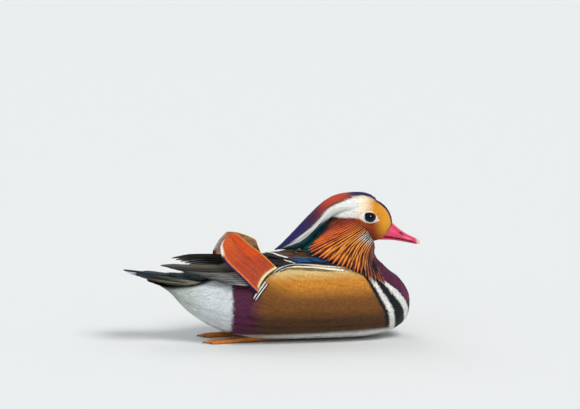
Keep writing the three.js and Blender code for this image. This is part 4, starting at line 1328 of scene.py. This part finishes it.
def wing_rows(side):
    """The rows of feathers over the folded wing of one side."""
    batches = []
    for row in WING_ROWS:
        paths, normals = back_paths(side, row["x"], row["y"], row["reach"], row["lift"], row["count"])
        widths = row["wide"] * jitter(row["count"], 0.06)
        batch = vanes(paths, normals, widths, "plume", columns=7, arch=0.16, thick=0.4)
        batches.append(paint(batch, scapular_tint))
    return batches


BARS = [
    # Long scapulars in front of the sail: places from the side, width, lift and colour
    ([(4, 98.5), (-4, 100), (-12, 101.6), (-20, 103)], 3.0, 3.6, INK),
    ([(10.5, 93.6), (5, 94.8), (-2, 97.2), (-10, 100.4)], 3.4, 5.0, WHITE),
    ([(20, 89.8), (9, 91.6), (-4, 94.6), (-16, 98)], 5.0, 4.2, INK),
    ([(16, 88.6), (13, 89.4), (9, 90.6), (5, 92)], 2.2, 5.2, WHITE),
]
FAR_BARS = {"out": 5, "down": 2}  # how the far side's bars lie against a mirror image of the near side's


def at_height(line, side, lift, spots=8, tries=60):
    """Places over one side of the back where it reaches the heights of a line seen from the side."""
    x, z = curve(line, np.linspace(0, 1, spots), held=True).T
    y = np.linspace(46, 8, tries)
    place, normal = on_back(x[:, None] + 0 * y, side * (y + 0 * x[:, None]), np.full((spots, tries), lift))
    high = place[..., 2] >= z[:, None]
    best = np.where(high.any(1), np.argmax(high, axis=1), place[..., 2].argmax(1))
    rows = np.arange(spots)
    return place[rows, best], normal[rows, best]


def bar_feathers(side):
    """The black and white scapulars that lie over the wing in front of the sail."""
    batches = []
    for line, wide, lift, colour in BARS:
        path, normal = at_height(line, RIGHT, lift)
        if side == LEFT:
            lower = np.full(len(path), lift - FAR_BARS["down"])
            path, normal = on_back(path[:, 0], FAR_BARS["out"] - path[:, 1], lower)
        batch = vanes(path[None], normal[None], np.array([wide]), "plume", columns=5, arch=0.2, thick=0.4)
        batches.append(plain(batch, colour))
    return batches


for word, side in SIDES.items():
    feathers = wing_rows(side) + bar_feathers(side)
    coat_piece(f"scapulars_{word}", feathers, STIFF, "wing_plumage", f"wing_{word}")


def flip(points, side):
    """Points of the left side, on either side."""
    return np.asarray(points, float) * (1, side, 1)


def between(pair, t):
    a, b = (np.asarray(p, float) for p in pair)
    return a + (b - a) * t


def primary_batch(side):
    """The folded flight feathers, fanned from the highest down; all but two have white outer edges."""
    count = PRIMARIES["count"]
    out = np.array((0, side * 0.546, 0.838))
    share = np.linspace(0, 1, 7)
    paths = []
    for k in range(count):
        ends = flip([between(pair, k / (count - 1)) for pair in PRIMARIES[side]], side)
        paths.append(curve(ends, share) - out * (k * PRIMARIES["step"] * share)[:, None])
    paths = np.array(paths)
    widths = between(PRIMARIES["wide"], np.linspace(0, 1, count))
    normals = np.broadcast_to(out, paths.shape).copy()
    batch = vanes(paths, normals, widths, "flight", columns=9, arch=0.1, thick=0.35)
    order = np.repeat(np.arange(count), batch["points"].shape[1])

    def tint(points, t, u, mood):
        outer = side * u
        return layered(
            OLIVE,
            (INK, ramp(0.2, 0.5, t) * 0.5 + 0.3),
            (INK, 0.6 * (order >= 2)),
            (OLIVE * 1.2, (order < 2) * ramp(0.3, 0.1, outer)),
            (WHITE, ramp(0.0, 0.14, outer) * ramp(0.78, 0.67, outer) * (order >= 2) * ramp(0.98, 0.9, t)),
        )

    return paint(batch, tint)


for word, side in SIDES.items():
    coat_piece(f"flight_feathers_{word}", [primary_batch(side)], STIFF, "wing_plumage", f"primaries_{word}")


def sail_grid(side, rows=44, columns=26):
    """The sail from its low corner up and from its rear edge forward, with its front web folded in."""
    i, j = np.meshgrid(np.linspace(0, 1, rows), np.linspace(0, 1, columns), indexing="ij")
    bow = i + 0.24 * (1 - i) ** 2 * j * (1 - j)
    rear_edge = curve(SAIL[side]["rear"], bow, held=True)
    front_edge = curve(SAIL[side]["front"], bow, held=True)
    tip = np.sqrt(np.clip(1 - (np.maximum(0, i - 0.84) / 0.165) ** 2, 0, 1))
    place = rear_edge + (front_edge - rear_edge) * (0.5 + (j - 0.5) * tip)[..., None]
    level = np.clip((place[..., 1] - SAIL["low"]) / (SAIL["high"] - SAIL["low"]), 0, 1) * 4
    out = np.interp(level, range(5), SAIL["out"])
    bent = np.clip(5 * j - 3, 0, 2)
    bent = np.where(bent < 0.5, bent**2, bent - 0.25)
    fold = SAIL[side]["fold"] * bent * np.minimum(1, i * 8 / 3) / 2
    ripple = 0.25 * np.sin(26 * i + 3 * j) * ramp(0, 0.2, j)
    y = side * (out - fold + ripple)
    return np.stack([place[..., 0], y, place[..., 1]], -1), i, j


def sail_tint(i, j, inner=0.0):
    """Rufous orange web; dark outer web and pale shaft behind, cream and white edges."""
    web = layered(
        SAIL_LOW,
        # Lighter towards the top: painted light from above.
        (SAIL_HIGH, ramp(0.2, 0.9, i)),
        (SAIL_WEB, ramp(0.62, 0.68, j) * ramp(0.15, 0.35, i)),
    )
    streak = 0.12 * np.sin(90 * j + 3 * np.sin(9 * i)) + 0.1 * np.sin(37 * j + 5 * i)
    return layered(
        web * (1 + streak)[..., None],
        # Inner face: a paler painted glow, standing in for light through the thin vane.
        (SAIL_INNER_GLOW, inner * ramp(0.1, 0.4, i)),
        (SAIL_SHAFT, 0.8 * hump(j, 0.63, 0.018) * ramp(0.1, 0.3, i)),
        # A painted highlight along the upper front edge.
        (SAFFRON, ramp(0.965, 0.985, j)),
        (STRAW_PALE, ramp(0.05, 0.03, i) * ramp(0.1, 0.2, j)),
        (INK, ramp(0.02, 0.008, i)),
        (SAIL_REAR, ramp(0.1, 0.08, j) * ramp(0.75, 0.6, i)),
        (NAVY, ramp(0.08, 0.065, j) * ramp(0.62, 0.55, i)),
        (WHITE, ramp(0.13, 0.1, j) * ramp(0.56, 0.62, i) * ramp(0.97, 0.93, i)),
    )


def sail_piece(word, side):
    """One sail as a stiff sheet, thicker along its shaft, with a face of its own on either side."""
    grid, i, j = sail_grid(side)
    normal = unit(np.cross(np.gradient(grid, axis=0), np.gradient(grid, axis=1)))
    normal *= np.sign(normal[..., 1:2] * side)
    thick = 0.35 + 0.5 * ramp(0, 0.1, j) + 0.9 * hump(j, 0.085, 0.03) * ramp(0.9, 0.6, i)
    points, quads, tris = sheet(grid, normal, thick)
    tint = np.concatenate([sail_tint(i, j).reshape(-1, 3), sail_tint(i, j, 1.0).reshape(-1, 3)])
    run = np.cumsum(np.linalg.norm(np.diff(grid, axis=0, prepend=grid[:1]), axis=-1), 0)
    wide = np.cumsum(np.linalg.norm(np.diff(grid, axis=1, prepend=grid[:, :1]), axis=-1), 1)
    barbs = np.tile(np.stack([wide - 4.0, run], -1).reshape(-1, 2), (2, 1))
    plan = np.stack([0.03 + 0.44 * j, 0.03 + 0.94 * i], -1).reshape(-1, 2)
    bake = np.concatenate([plan, plan + (0.5, 0)])
    made = make_mesh(f"sail_web_{word}", points, quads, tris, tint, {"OFBake": bake, "Barbs": barbs})
    finish_piece(made, SAIL_VANE, "sail_plumage", f"sail_{word}")


for word, side in SIDES.items():
    sail_piece(word, side)

# Flank plumes: long feathers along the upper rear edge, barred white and black at their tips

FRINGE = [(34, 85.5), (16, 86), (2, 84.5), (-12, 76), (-22, 65), (-30, 52), (-38, 38)]
PLUME_LEAN = [(22, 3), (24, 4), (24, 9), (20, 13), (18, 11), (20, 6), (22, 2)]
PLUME_RISE = np.array([-0.6, 0.8, 1.4, 1.9, 2.3, 2.6])


def plume_batch(side, count=34):
    """Feathers rooted on the flank whose tips end along its upper rear edge."""
    k = np.linspace(0, 1, count)
    spots = len(PLUME_RISE)
    tip = curve(FRINGE, k, held=True)
    lean = curve(PLUME_LEAN, k, held=True)
    share = np.linspace(0, 1, spots)[None]
    x = tip[:, :1] + lean[:, :1] * (1 - share)
    z = tip[:, 1:] - lean[:, 1:] * (1 - share) ** 0.8
    hits = [ground.side_ray(side, a, b) for a, b in zip(x.ravel(), z.ravel())]
    place = np.array([h[0] for h in hits]).reshape(count, spots, 3)
    normal = ground.face_normals[[h[2] for h in hits]].reshape(count, spots, 3)
    rise = PLUME_RISE[None, :, None] + 0.5 * (np.arange(count) % 2)[:, None, None]
    return vanes(place + normal * rise, normal, np.full(count, 9.5), "rounded", columns=9, arch=0.1)


def plume_tint(points, t, u, mood):
    """The flank's colours, with their painted light and shade, carried out past its edge."""
    x, y, z = points.T
    return body_tint(np.c_[np.maximum(x, -50), y, np.minimum(z, 79)]) * (1 + 0.04 * mood)[:, None]


FLANK_EDGE = [(70, 82.4), (42, 86.4), (28, 87.6), (13, 88), (1, 85.2), (-8, 79.4), (-15, 73), (-20, 67.5),
              (-25, 61.5), (-31, 53)]
STRIPES = [
    # Across the flank's upper rear edge: how far out, width, shares where it starts and stops, colour
    (2.1, 2.6, 0.0, 1.0, INK),
    (0.0, 2.2, 0.0, 1.0, WHITE),
    (-1.6, 1.3, 0.32, 1.0, INK),
    (-2.8, 1.2, 0.35, 1.0, WHITE),
    (-3.9, 1.0, 0.4, 1.0, INK),
    # Cream strip over the shadow that the stripes above cast on the flank: painted light that hides it.
    (-2.7, 4.4, 0.0, 0.36, CREAM),
]
STRIPE_LIFT = 4.7  # how far the stripes stand off the body
STRIPE_OUT = 45  # how far from the bird's middle they lie at least on the near side, over the wing
FAR_START = 0.45  # the far side's stripes start lower, clear of the wing


def beside_body(side, x, z):
    """Where a level ray meets the body, or the first lower one that does."""
    for drop in range(20):
        hit = ground.side_ray(side, x, z - drop)
        if hit[0] is not None:
            return hit
    return ground.tree.find_nearest(Vector((x, side * 50, z)))


def stripe_batch(side, out, wide, start, stop, colour):
    """One long narrow plume that runs round the flank's upper rear edge, over the wing on the near side."""
    if side == LEFT:
        start = max(start, FAR_START)
    line = curve(FLANK_EDGE, np.linspace(start, stop, 24), held=True)
    way = unit(np.gradient(line, axis=0))
    line = line + out * np.c_[way[:, 1], -way[:, 0]]
    hits = [beside_body(side, a, b) for a, b in line]
    normal = ground.face_normals[[h[2] for h in hits]]
    path = np.array([h[0] for h in hits]) + normal * STRIPE_LIFT
    if side == RIGHT:
        least = STRIPE_OUT - 6 * ramp(48, 70, path[:, 0])
        path[:, 1] = -np.maximum(-path[:, 1], least)
        path[:, 2] = line[:, 1]
    shape = dict(columns=5, arch=0.3, thick=0.4, ragged=0.02)
    return plain(vanes(path[None], normal[None], np.array([wide]), "strip", **shape), colour)


for word, side in SIDES.items():
    stripes = STRIPES if side == RIGHT else STRIPES[:-1]
    plumes = [paint(plume_batch(side), plume_tint)] + [stripe_batch(side, *stripe) for stripe in stripes]
    coat_piece(f"flank_plumes_{word}", plumes, CONTOUR, "flank_plumage", f"flank_{word}")

# Tail


def tail_top(x):
    """How high the tail's middle line stands, from the rump to its tip."""
    root, tip = RECTRICES["root"], RECTRICES["tip"]
    t = (x - root[0]) / (tip[0] - root[0])
    behind = root[2] + (tip[2] - root[2]) * np.maximum(t, 0) ** RECTRICES["bend"]
    return np.where(t < 0, root[2] - 28 * t, behind)


def rectrix_batch():
    """The stiff tail feathers, fanned to both sides; the outermost has a bronze rim."""
    root, tip = RECTRICES["root"], RECTRICES["tip"]
    share = np.linspace(0, 1, 7)[:, None]
    paths = []
    outer = []
    for side in (RIGHT, LEFT):
        for k in range(RECTRICES["per_side"]):
            s = (k + 0.5) / (RECTRICES["per_side"] - 0.5)
            low = RECTRICES["step"] * (k + (side == LEFT))
            start = np.array((root[0] + 14, side * s * root[1] * 0.9, root[2] - low - 1.5))
            end = np.array((tip[0] + RECTRICES["trim"] * s * s, side * s * tip[1], tip[2] - low))
            path = start + (end - start) * share
            path[:, 2] = start[2] + (end[2] - start[2]) * share[:, 0] ** RECTRICES["bend"]
            paths.append(path)
            outer.append(side * s)
    paths = np.array(paths)
    up = np.broadcast_to((0.0, 0.0, 1.0), paths.shape).copy()
    widths = np.full(len(paths), RECTRICES["wide"])
    batch = vanes(paths, up, widths, "flight", columns=9, arch=0.1, thick=0.4)
    edge = np.repeat(np.array(outer), batch["points"].shape[1])

    def tint(points, t, u, mood):
        out = np.sign(edge) * u
        rim = ramp(0.45, 0.7, out) * (np.abs(edge) > 0.9) * ramp(0.2, 0.35, t) * ramp(0.95, 0.8, t)
        colour = layered(
            blend(TEAL, NAVY, 0.4) * 0.7,
            (INK, ramp(0.5, 1.0, np.abs(u)) * 0.7),
            (INK, ramp(0.8, 0.95, t) * 0.7),
            (BRONZE, rim),
        )
        return colour * (1 + 0.08 * mood)[:, None]

    return paint(batch, tint)


def fan(count, x, reach, half, round_off, flare, spots=6):
    """Places of feathers side by side from the rump back, with their order from -1 to 1 and their spots."""
    s = np.linspace(-1, 1, count)[:, None]
    share = np.linspace(0, 1, spots)[None]
    px = x - reach * (1 - round_off * s * s) * share
    py = s * half * (1 + flare * share)
    return s, share, px, py


def covert_batch(count, x, reach, half, wide, lift):
    """Uppertail coverts, one row over the next."""
    s, _, px, py = fan(count, x, reach, half, 0.2, 0.15)
    odd = (np.arange(count) % 2)[:, None]
    pz = tail_top(px) + (lift + 0.8 * odd) - 2 * (s * s)
    pz[:, 0] -= lift + 1.5
    up = unit(np.stack([0 * px, 0.5 * s + 0 * px, 1 + 0 * px], -1))
    paths = np.stack([px, py, pz], -1)
    batch = vanes(paths, up, np.full(count, wide), "plume", columns=7, arch=0.16, thick=0.35)
    return paint(batch, covert_tint)


def under_batch(count, x, reach, half, drop, wide):
    """Undertail coverts, which fill the form between the rump and the tail from below."""
    s, share, px, py = fan(count, x, reach, half, 0.15, 0.25)
    pz = tail_top(px) - (drop[0] + (drop[1] - drop[0]) * share) * (1 - 0.45 * s * s)
    down = unit(np.stack([0 * px, 1.4 * s + 0 * px, -1 + 0 * px], -1))
    paths = np.stack([px, py, pz], -1)
    return paint(vanes(paths, down, np.full(count, wide), "plume", columns=7, arch=0.2), under_tint)


def under_tint(points, t, u, mood):
    x = points[:, 0]
    # Ash grey, darkening to moss and olive towards the tail: painted shade under the tail.
    tint = layered(ASH, (MOSS, ramp(-88, -112, x)), (OLIVE, ramp(-118, -138, x)))
    return tint * (1 + 0.06 * mood)[:, None]


def covert_tint(points, t, u, mood):
    tint = layered(TEAL, (OLIVE, 0.3 + 0 * t), (INK, ramp(0.5, 1.0, np.abs(u)) * 0.7))
    return tint * (1 + 0.1 * mood)[:, None]


tail = [
    rectrix_batch(),
    covert_batch(9, -76, 44, 13, 8, 1.2),
    covert_batch(9, -66, 38, 14, 8.5, 2.4),
    covert_batch(8, -55, 34, 13, 9, 3.6),
    under_batch(11, -92, 62, 14, (11, 4.2), 9),
    under_batch(11, -80, 50, 15, (13, 8.4), 10),
    under_batch(9, -74, 36, 15, (15, 12), 11),
]
coat_piece("tail_feathers", tail, STIFF, "tail_plumage", "tail")

# Bill


def nostril_gap(x, z, tall):
    """How far a place is from the nostril's middle, squared, with 1 on its rim; the slot slants back."""
    ahead = x - NOSTRIL["x"]
    return (ahead / NOSTRIL["long"]) ** 2 + ((z - NOSTRIL["z"] + 0.5 * ahead) / tall) ** 2


def bill_tint(points):
    """Crimson horn, paler at the nail; a painted highlight on the ridge and painted shade along the cutting
    edge and at the nostrils.
    """
    x, y, z = points.T
    ridge = ramp(5.5, 1.5, np.abs(y)) * ramp(0, 4, z - np.interp(x, [116, 160], [116.5, 102.5]))
    edge = np.interp(x, [116, 130, 142, 153, 162], [110.7, 109.4, 107.1, 104.5, 101.2])
    hole = ramp(1.5, 0.7, nostril_gap(x, z, 1.1)) * (np.abs(y) > 3)
    return layered(
        np.tile(linear("#d42858"), (len(x), 1)),
        # Painted highlight along the ridge.
        (linear("#f08aac"), 0.7 * ridge),
        (linear("#eeb4ae"), ramp(156.5, 161, x)),
        # Painted shade in the crease along the cutting edge.
        (linear("#5c0f24"), 0.75 * ramp(1.3, 0.2, np.abs(z - edge)) * ramp(158, 152, x)),
        # Painted shade in the nostrils.
        (linear("#3a0a18"), hole),
    )


def dent(points):
    """Presses both nostrils into the upper bill and raises its nail."""
    x, y, z = points.T
    pit = np.exp(-(nostril_gap(x, z, 1.2) ** 2))
    points[:, 1] -= np.sign(y) * NOSTRIL["deep"] * pit * (np.abs(y) > 3)
    swell = np.exp(-(((x - NAIL_X) / 4) ** 2) - (y / 3) ** 2)
    points[:, 2] += 0.5 * swell * (z > 102 + 0.2 * (162 - x))
    return points


for name, form, ends in (("upper_bill", UPPER_BILL, (0.1, 0.7)), ("lower_bill", LOWER_BILL, (0.1, 0.4))):
    points, quads, tris = form_tube(form, 90, 96, ends=ends)
    if name == "upper_bill":
        points = dent(points)
    angle = np.arctan2(points[:, 1], 112 - points[:, 2])
    bake = np.c_[(points[:, 0] - 110) / 60, 0.5 + 0.45 * angle / math.pi]
    made = make_mesh(name, points, quads, tris, bill_tint(points), {"OFBake": np.clip(bake, 0.01, 0.99)})
    finish_piece(made, BILL, "bill", "bill_" + name.split("_")[0])

# Eyes and lids

LIDS = {"long": 6.9, "tall": 5.2, "above": 1.1}
LID_REACH = np.array([0.95, 0.99, 1.03, 1.09, 1.16, 1.26, 1.38, 1.5])  # rings from the ball's rim outward
LID_HEIGHT = np.array([-0.2, 0.35, 0.6, 0.6, 0.5, 0.4, 0.2, -0.3])  # how far each stands over ball or face


def eye_piece(word, side):
    """The ball, with its iris and pupil painted round the way it looks: out, a little ahead and up."""
    middle, radius = EYE[side]["middle"], EYE[side]["radius"] * 0.995
    look = unit(np.array((0.12, side * 1.0, 0.12)))
    turn = np.array(Vector((0, 0, 1)).rotation_difference(Vector(look)).to_matrix())
    t = np.linspace(0.02, math.pi - 0.02, 40)[:, None]
    a = circle(48)[None]
    ball = np.stack([np.sin(t) * np.cos(a), np.sin(t) * np.sin(a), np.cos(t) + 0 * a], -1)
    rings = middle + ball @ turn.T * radius
    points, quads, tris = tube(rings, middle + look * radius, middle - look * radius)
    angle = np.concatenate([np.arccos(np.clip(ball[..., 2], -1, 1)).ravel(), [0, math.pi]])
    tint = layered(
        linear("#120a10"),
        (linear("#030306"), ramp(0.62, 0.5, angle)),
        (linear("#120a08"), ramp(0.8, 0.95, angle)),
    )
    bake = np.concatenate([0.5 + 0.45 * ball[..., :2].reshape(-1, 2), [(0.5, 0.5), (0.5, 0.5)]])
    made = make_mesh(f"eyeball_{word}", points, quads, tris, tint, {"OFBake": bake})
    finish_piece(made, EYE_WET, "eye", f"eye_{word}")


def lid_frame(side):
    """The face's way out, ahead and up round one eye."""
    a = circle(12)
    about = EYE[side]["middle"] + np.c_[11 * np.cos(a), np.full(12, side * 6.0), 9 * np.sin(a)]
    normal = unit(ground.nearest(about)[1].mean(0))
    ahead = unit(np.array((1.0, 0, -0.1)) - normal * (normal[0] - 0.1 * normal[2]))
    up = np.cross(normal, ahead)
    return normal, ahead, up * np.sign(up[2])


def lid_piece(word, side):
    """Both lids as one soft fold that drapes from the ball down to the face, drawn out before and behind."""
    middle, radius = EYE[side]["middle"], EYE[side]["radius"]
    normal, ahead, up = lid_frame(side)
    a = circle(96)[:, None]
    k = LID_REACH[None]
    flat_x = LIDS["long"] * np.cos(a) * k
    flat_y = LIDS["tall"] * np.sin(a) * (1 - 0.12 * np.cos(a) ** 6) * k + LIDS["above"]
    base = middle + flat_x[..., None] * ahead + flat_y[..., None] * up
    hits = [ground.tree.ray_cast(Vector(p + normal * 30), Vector(-normal)) for p in base.reshape(-1, 3)]
    skin_high = np.array([30 - h[3] for h in hits]).reshape(base.shape[:2])
    ball_high = np.sqrt(np.maximum(radius**2 - flat_x**2 - flat_y**2, 0))
    high = np.maximum(ball_high * (k < 1.4), skin_high) + LID_HEIGHT
    top = base + high[..., None] * normal
    under = top[:, -2:0:-1] - 0.7 * normal
    rings = np.concatenate([top, under], 1)
    at = np.arange(rings.shape[0] * rings.shape[1]).reshape(rings.shape[:2])
    beside, down = np.roll(at, -1, 1), np.roll(at, -1, 0)
    quads = np.stack([at, beside, np.roll(down, -1, 1), down], -1).reshape(-1, 4)
    rim = np.concatenate([np.arange(8), np.arange(6, 0, -1)])[None] + 0 * a
    points = rings.reshape(-1, 3)
    outer = ring_tint(points, face_tint(points))
    tint = blend(np.tile(linear("#1c1210"), (len(points), 1)), outer, ramp(0.6, 2.2, rim.ravel()))
    bake = np.stack([0.02 + 0.96 * a / (2 * math.pi) + 0 * rim, 0.05 + 0.9 * rim / 7], -1).reshape(-1, 2)
    maps = {"OFBake": bake, "Barbs": bake}
    made = make_mesh(f"lids_{word}", points, quads, NO_TRIS, tint, maps)
    finish_piece(made, VELVET, "head_plumage")


for word, side in SIDES.items():
    eye_piece(word, side)
    lid_piece(word, side)

# Feet

TOES = (-0.5, 0, 0.5)  # where the toes lie across the web


def limb(points, radii, sides=14, steps=26, knuckles=0.0):
    """A round limb along a smooth line, with joints that swell a little."""
    t = np.linspace(0, 1, steps)
    line = curve(points, t)
    way = unit(np.gradient(line, axis=0))
    across = unit(np.cross((0, 0, 1.0), way))
    over = np.cross(way, across)
    radius = np.interp(t * (len(radii) - 1), range(len(radii)), radii)
    radius = radius * (1 + knuckles * np.sin(3 * math.pi * t) ** 2)
    a = circle(sides)[None, :, None]
    round_ = np.cos(a) * across[:, None] + np.sin(a) * over[:, None]
    rings = line[:, None] + radius[:, None, None] * round_
    rings[..., 2] = np.maximum(rings[..., 2], 0.1)
    return tube(rings, line[0] - way[0] * radii[0] * 0.5, line[-1] + way[-1] * radii[-1] * 0.8)


def toe_reach(share):
    """How far back a toe reaches; the middle one is the longest."""
    return LEG["web"] * (1 - 0.3 * abs(share))


def web_sheet(side):
    """The web between the toes, scalloped along its rear edge."""
    x, y, _ = LEG["shank"][2]
    i, j = np.meshgrid(np.linspace(0.08, 0.94, 24), np.linspace(-0.5, 0.5, 17), indexing="ij")
    wave = np.cos(4 * math.pi * j)
    scallop = 1 - 0.06 * wave * ramp(0.6, 1, i) - 0.06 * ramp(0.6, 1, i)
    reach = LEG["web"] * i * (1 - 0.3 * np.abs(j)) * scallop
    grid = np.stack([x - reach, side * (y + j * LEG["spread"] * i), 1.4 + 0.25 * wave], -1)
    return sheet(grid, np.broadcast_to((0.0, 0.0, 1.0), grid.shape), 0.9)


def foot_mesh(side):
    """The shank, three toes, the small hind toe and the web, laid back under the belly."""
    x, y, _ = LEG["shank"][2]
    parts = [limb(flip(LEG["shank"], side), LEG["radius"], sides=18)]
    for share in TOES:
        end = (x - toe_reach(share), y + share * LEG["spread"], 1.6)
        knuckle = ((x + end[0]) / 2, (y + end[1]) / 2, 2.4)
        parts.append(limb(flip([(x, y, 3.4), knuckle, end], side), [2.6, 2.2, 1.3], knuckles=0.14))
    hind = [(x + 4, y - 3, 3), (x - 2, y - 6, 2), (x - 8, y - 8, 1.4)]
    parts.append(limb(flip(hind, side), [1.6, 1.4, 0.9]))
    return merge([*parts, web_sheet(side)])


def claw_mesh(side):
    """A short curved claw at the end of each front toe."""
    x, y, _ = LEG["shank"][2]
    parts = []
    for share in TOES:
        end, aside = x - toe_reach(share), y + share * LEG["spread"]
        line = [(end + 1.2, aside, 1.9), (end - 1.2, aside, 1.8), (end - 3.2, aside, 0.7)]
        parts.append(limb(flip(line, side), [1.0, 0.75, 0.25], sides=12, steps=14))
    return merge(parts)


def foot_piece(name, parts, side, material, *nodes):
    points, quads, tris = parts
    bake = np.c_[0.05 + 0.9 * (points[:, 0] + 90) / 110, 0.05 + 0.9 * (side * points[:, 1]) / 40]
    made = make_mesh(name, points, quads, tris, None, {"OFBake": np.clip(bake, 0.01, 0.99)})
    finish_piece(made, material, "foot", *nodes)


for word, side in SIDES.items():
    foot_piece(f"claws_{word}", claw_mesh(side), side, CLAW)
    foot_piece(f"foot_{word}", foot_mesh(side), side, FOOT, f"leg_{word}")

# Floor, light and camera

FLOOR_HALF = 30000
PHOTO = (580, 409)
MM_A_PIXEL = 1.1  # what one pixel of the photo spans at the bird
AZIMUTH, ELEVATION = math.radians(-10), math.radians(7)
DISTANCE = 3.4  # metres from the camera to the bird
ORIGIN_PIXEL = (274, 338.2)  # where the photo shows the floor's origin
CENTRE = [(size / 2 - at) * way * MM_A_PIXEL / 1000 for size, at, way in zip(PHOTO, ORIGIN_PIXEL, (1, -1))]
SENSOR = 36


def matt_floor():
    """Pale painted board, matt and even, so that it throws soft light up under the bird."""
    material = bpy.data.materials.new("pale matt floor")
    material.use_nodes = True
    shader = material.node_tree.nodes["Principled BSDF"]
    shader.inputs["Base Color"].default_value = (*linear("#dcdedd"), 1)
    shader.inputs["Roughness"].default_value = 0.9
    return material


corners = FLOOR_HALF * np.array([(-1, -1, 0), (1, -1, 0), (1, 1, 0), (-1, 1, 0)])
floor = make_mesh("floor", corners, np.array([(0, 1, 2, 3)]), NO_TRIS)
floor.data.materials.append(matt_floor())


def soft_light(name, away, spread, strength, colour, shine=False):
    """A far, broad light, such as a large diffuser, that falls evenly over bird and floor."""
    data = bpy.data.lights.new(name, "SUN")
    data.angle = math.radians(spread)
    data.energy = strength
    data.color = colour
    made = bpy.data.objects.new(name, data)
    made.rotation_euler = Vector(away).to_track_quat("Z", "Y").to_euler()
    made.visible_glossy = shine
    made.visible_diffuse = not shine
    bpy.context.scene.collection.objects.link(made)


soft_light("key", (0.35, -0.75, 1.0), 28, 2.1, (1.0, 0.975, 0.94))
soft_light("glint", (0.25, -0.8, 0.55), 16, 2.6, (1.0, 1.0, 1.0), shine=True)
soft_light("fill", (-0.8, -0.9, 0.55), 70, 0.5, (0.93, 0.96, 1.0))
soft_light("rim", (-0.3, 0.9, 0.9), 40, 0.7, (1.0, 1.0, 1.0))

world = bpy.data.worlds.new("pale room")
world.use_nodes = True
world.node_tree.nodes["Background"].inputs["Color"].default_value = (0.9, 0.94, 1.0, 1)
world.node_tree.nodes["Background"].inputs["Strength"].default_value = 0.5
bpy.context.scene.world = world
bpy.context.scene.view_settings.view_transform = "Standard"

across = Vector((math.cos(AZIMUTH), math.sin(AZIMUTH), 0))
level = math.cos(ELEVATION)
behind = Vector((math.sin(AZIMUTH) * level, -math.cos(AZIMUTH) * level, math.sin(ELEVATION)))
upward = behind.cross(across)
aim = across * CENTRE[0] + upward * CENTRE[1] + Vector((AHEAD / 1000, 0, 0))
camera_data = bpy.data.cameras.new("camera")
camera_data.sensor_width = SENSOR
camera_data.lens = SENSOR * DISTANCE / (PHOTO[0] * MM_A_PIXEL / 1000)
camera_data.clip_end = 100
camera = bpy.data.objects.new("camera", camera_data)
camera.location = aim + behind * DISTANCE
camera.rotation_euler = behind.to_track_quat("Z", "Y").to_euler()
bpy.context.scene.collection.objects.link(camera)
bpy.context.scene.camera = camera
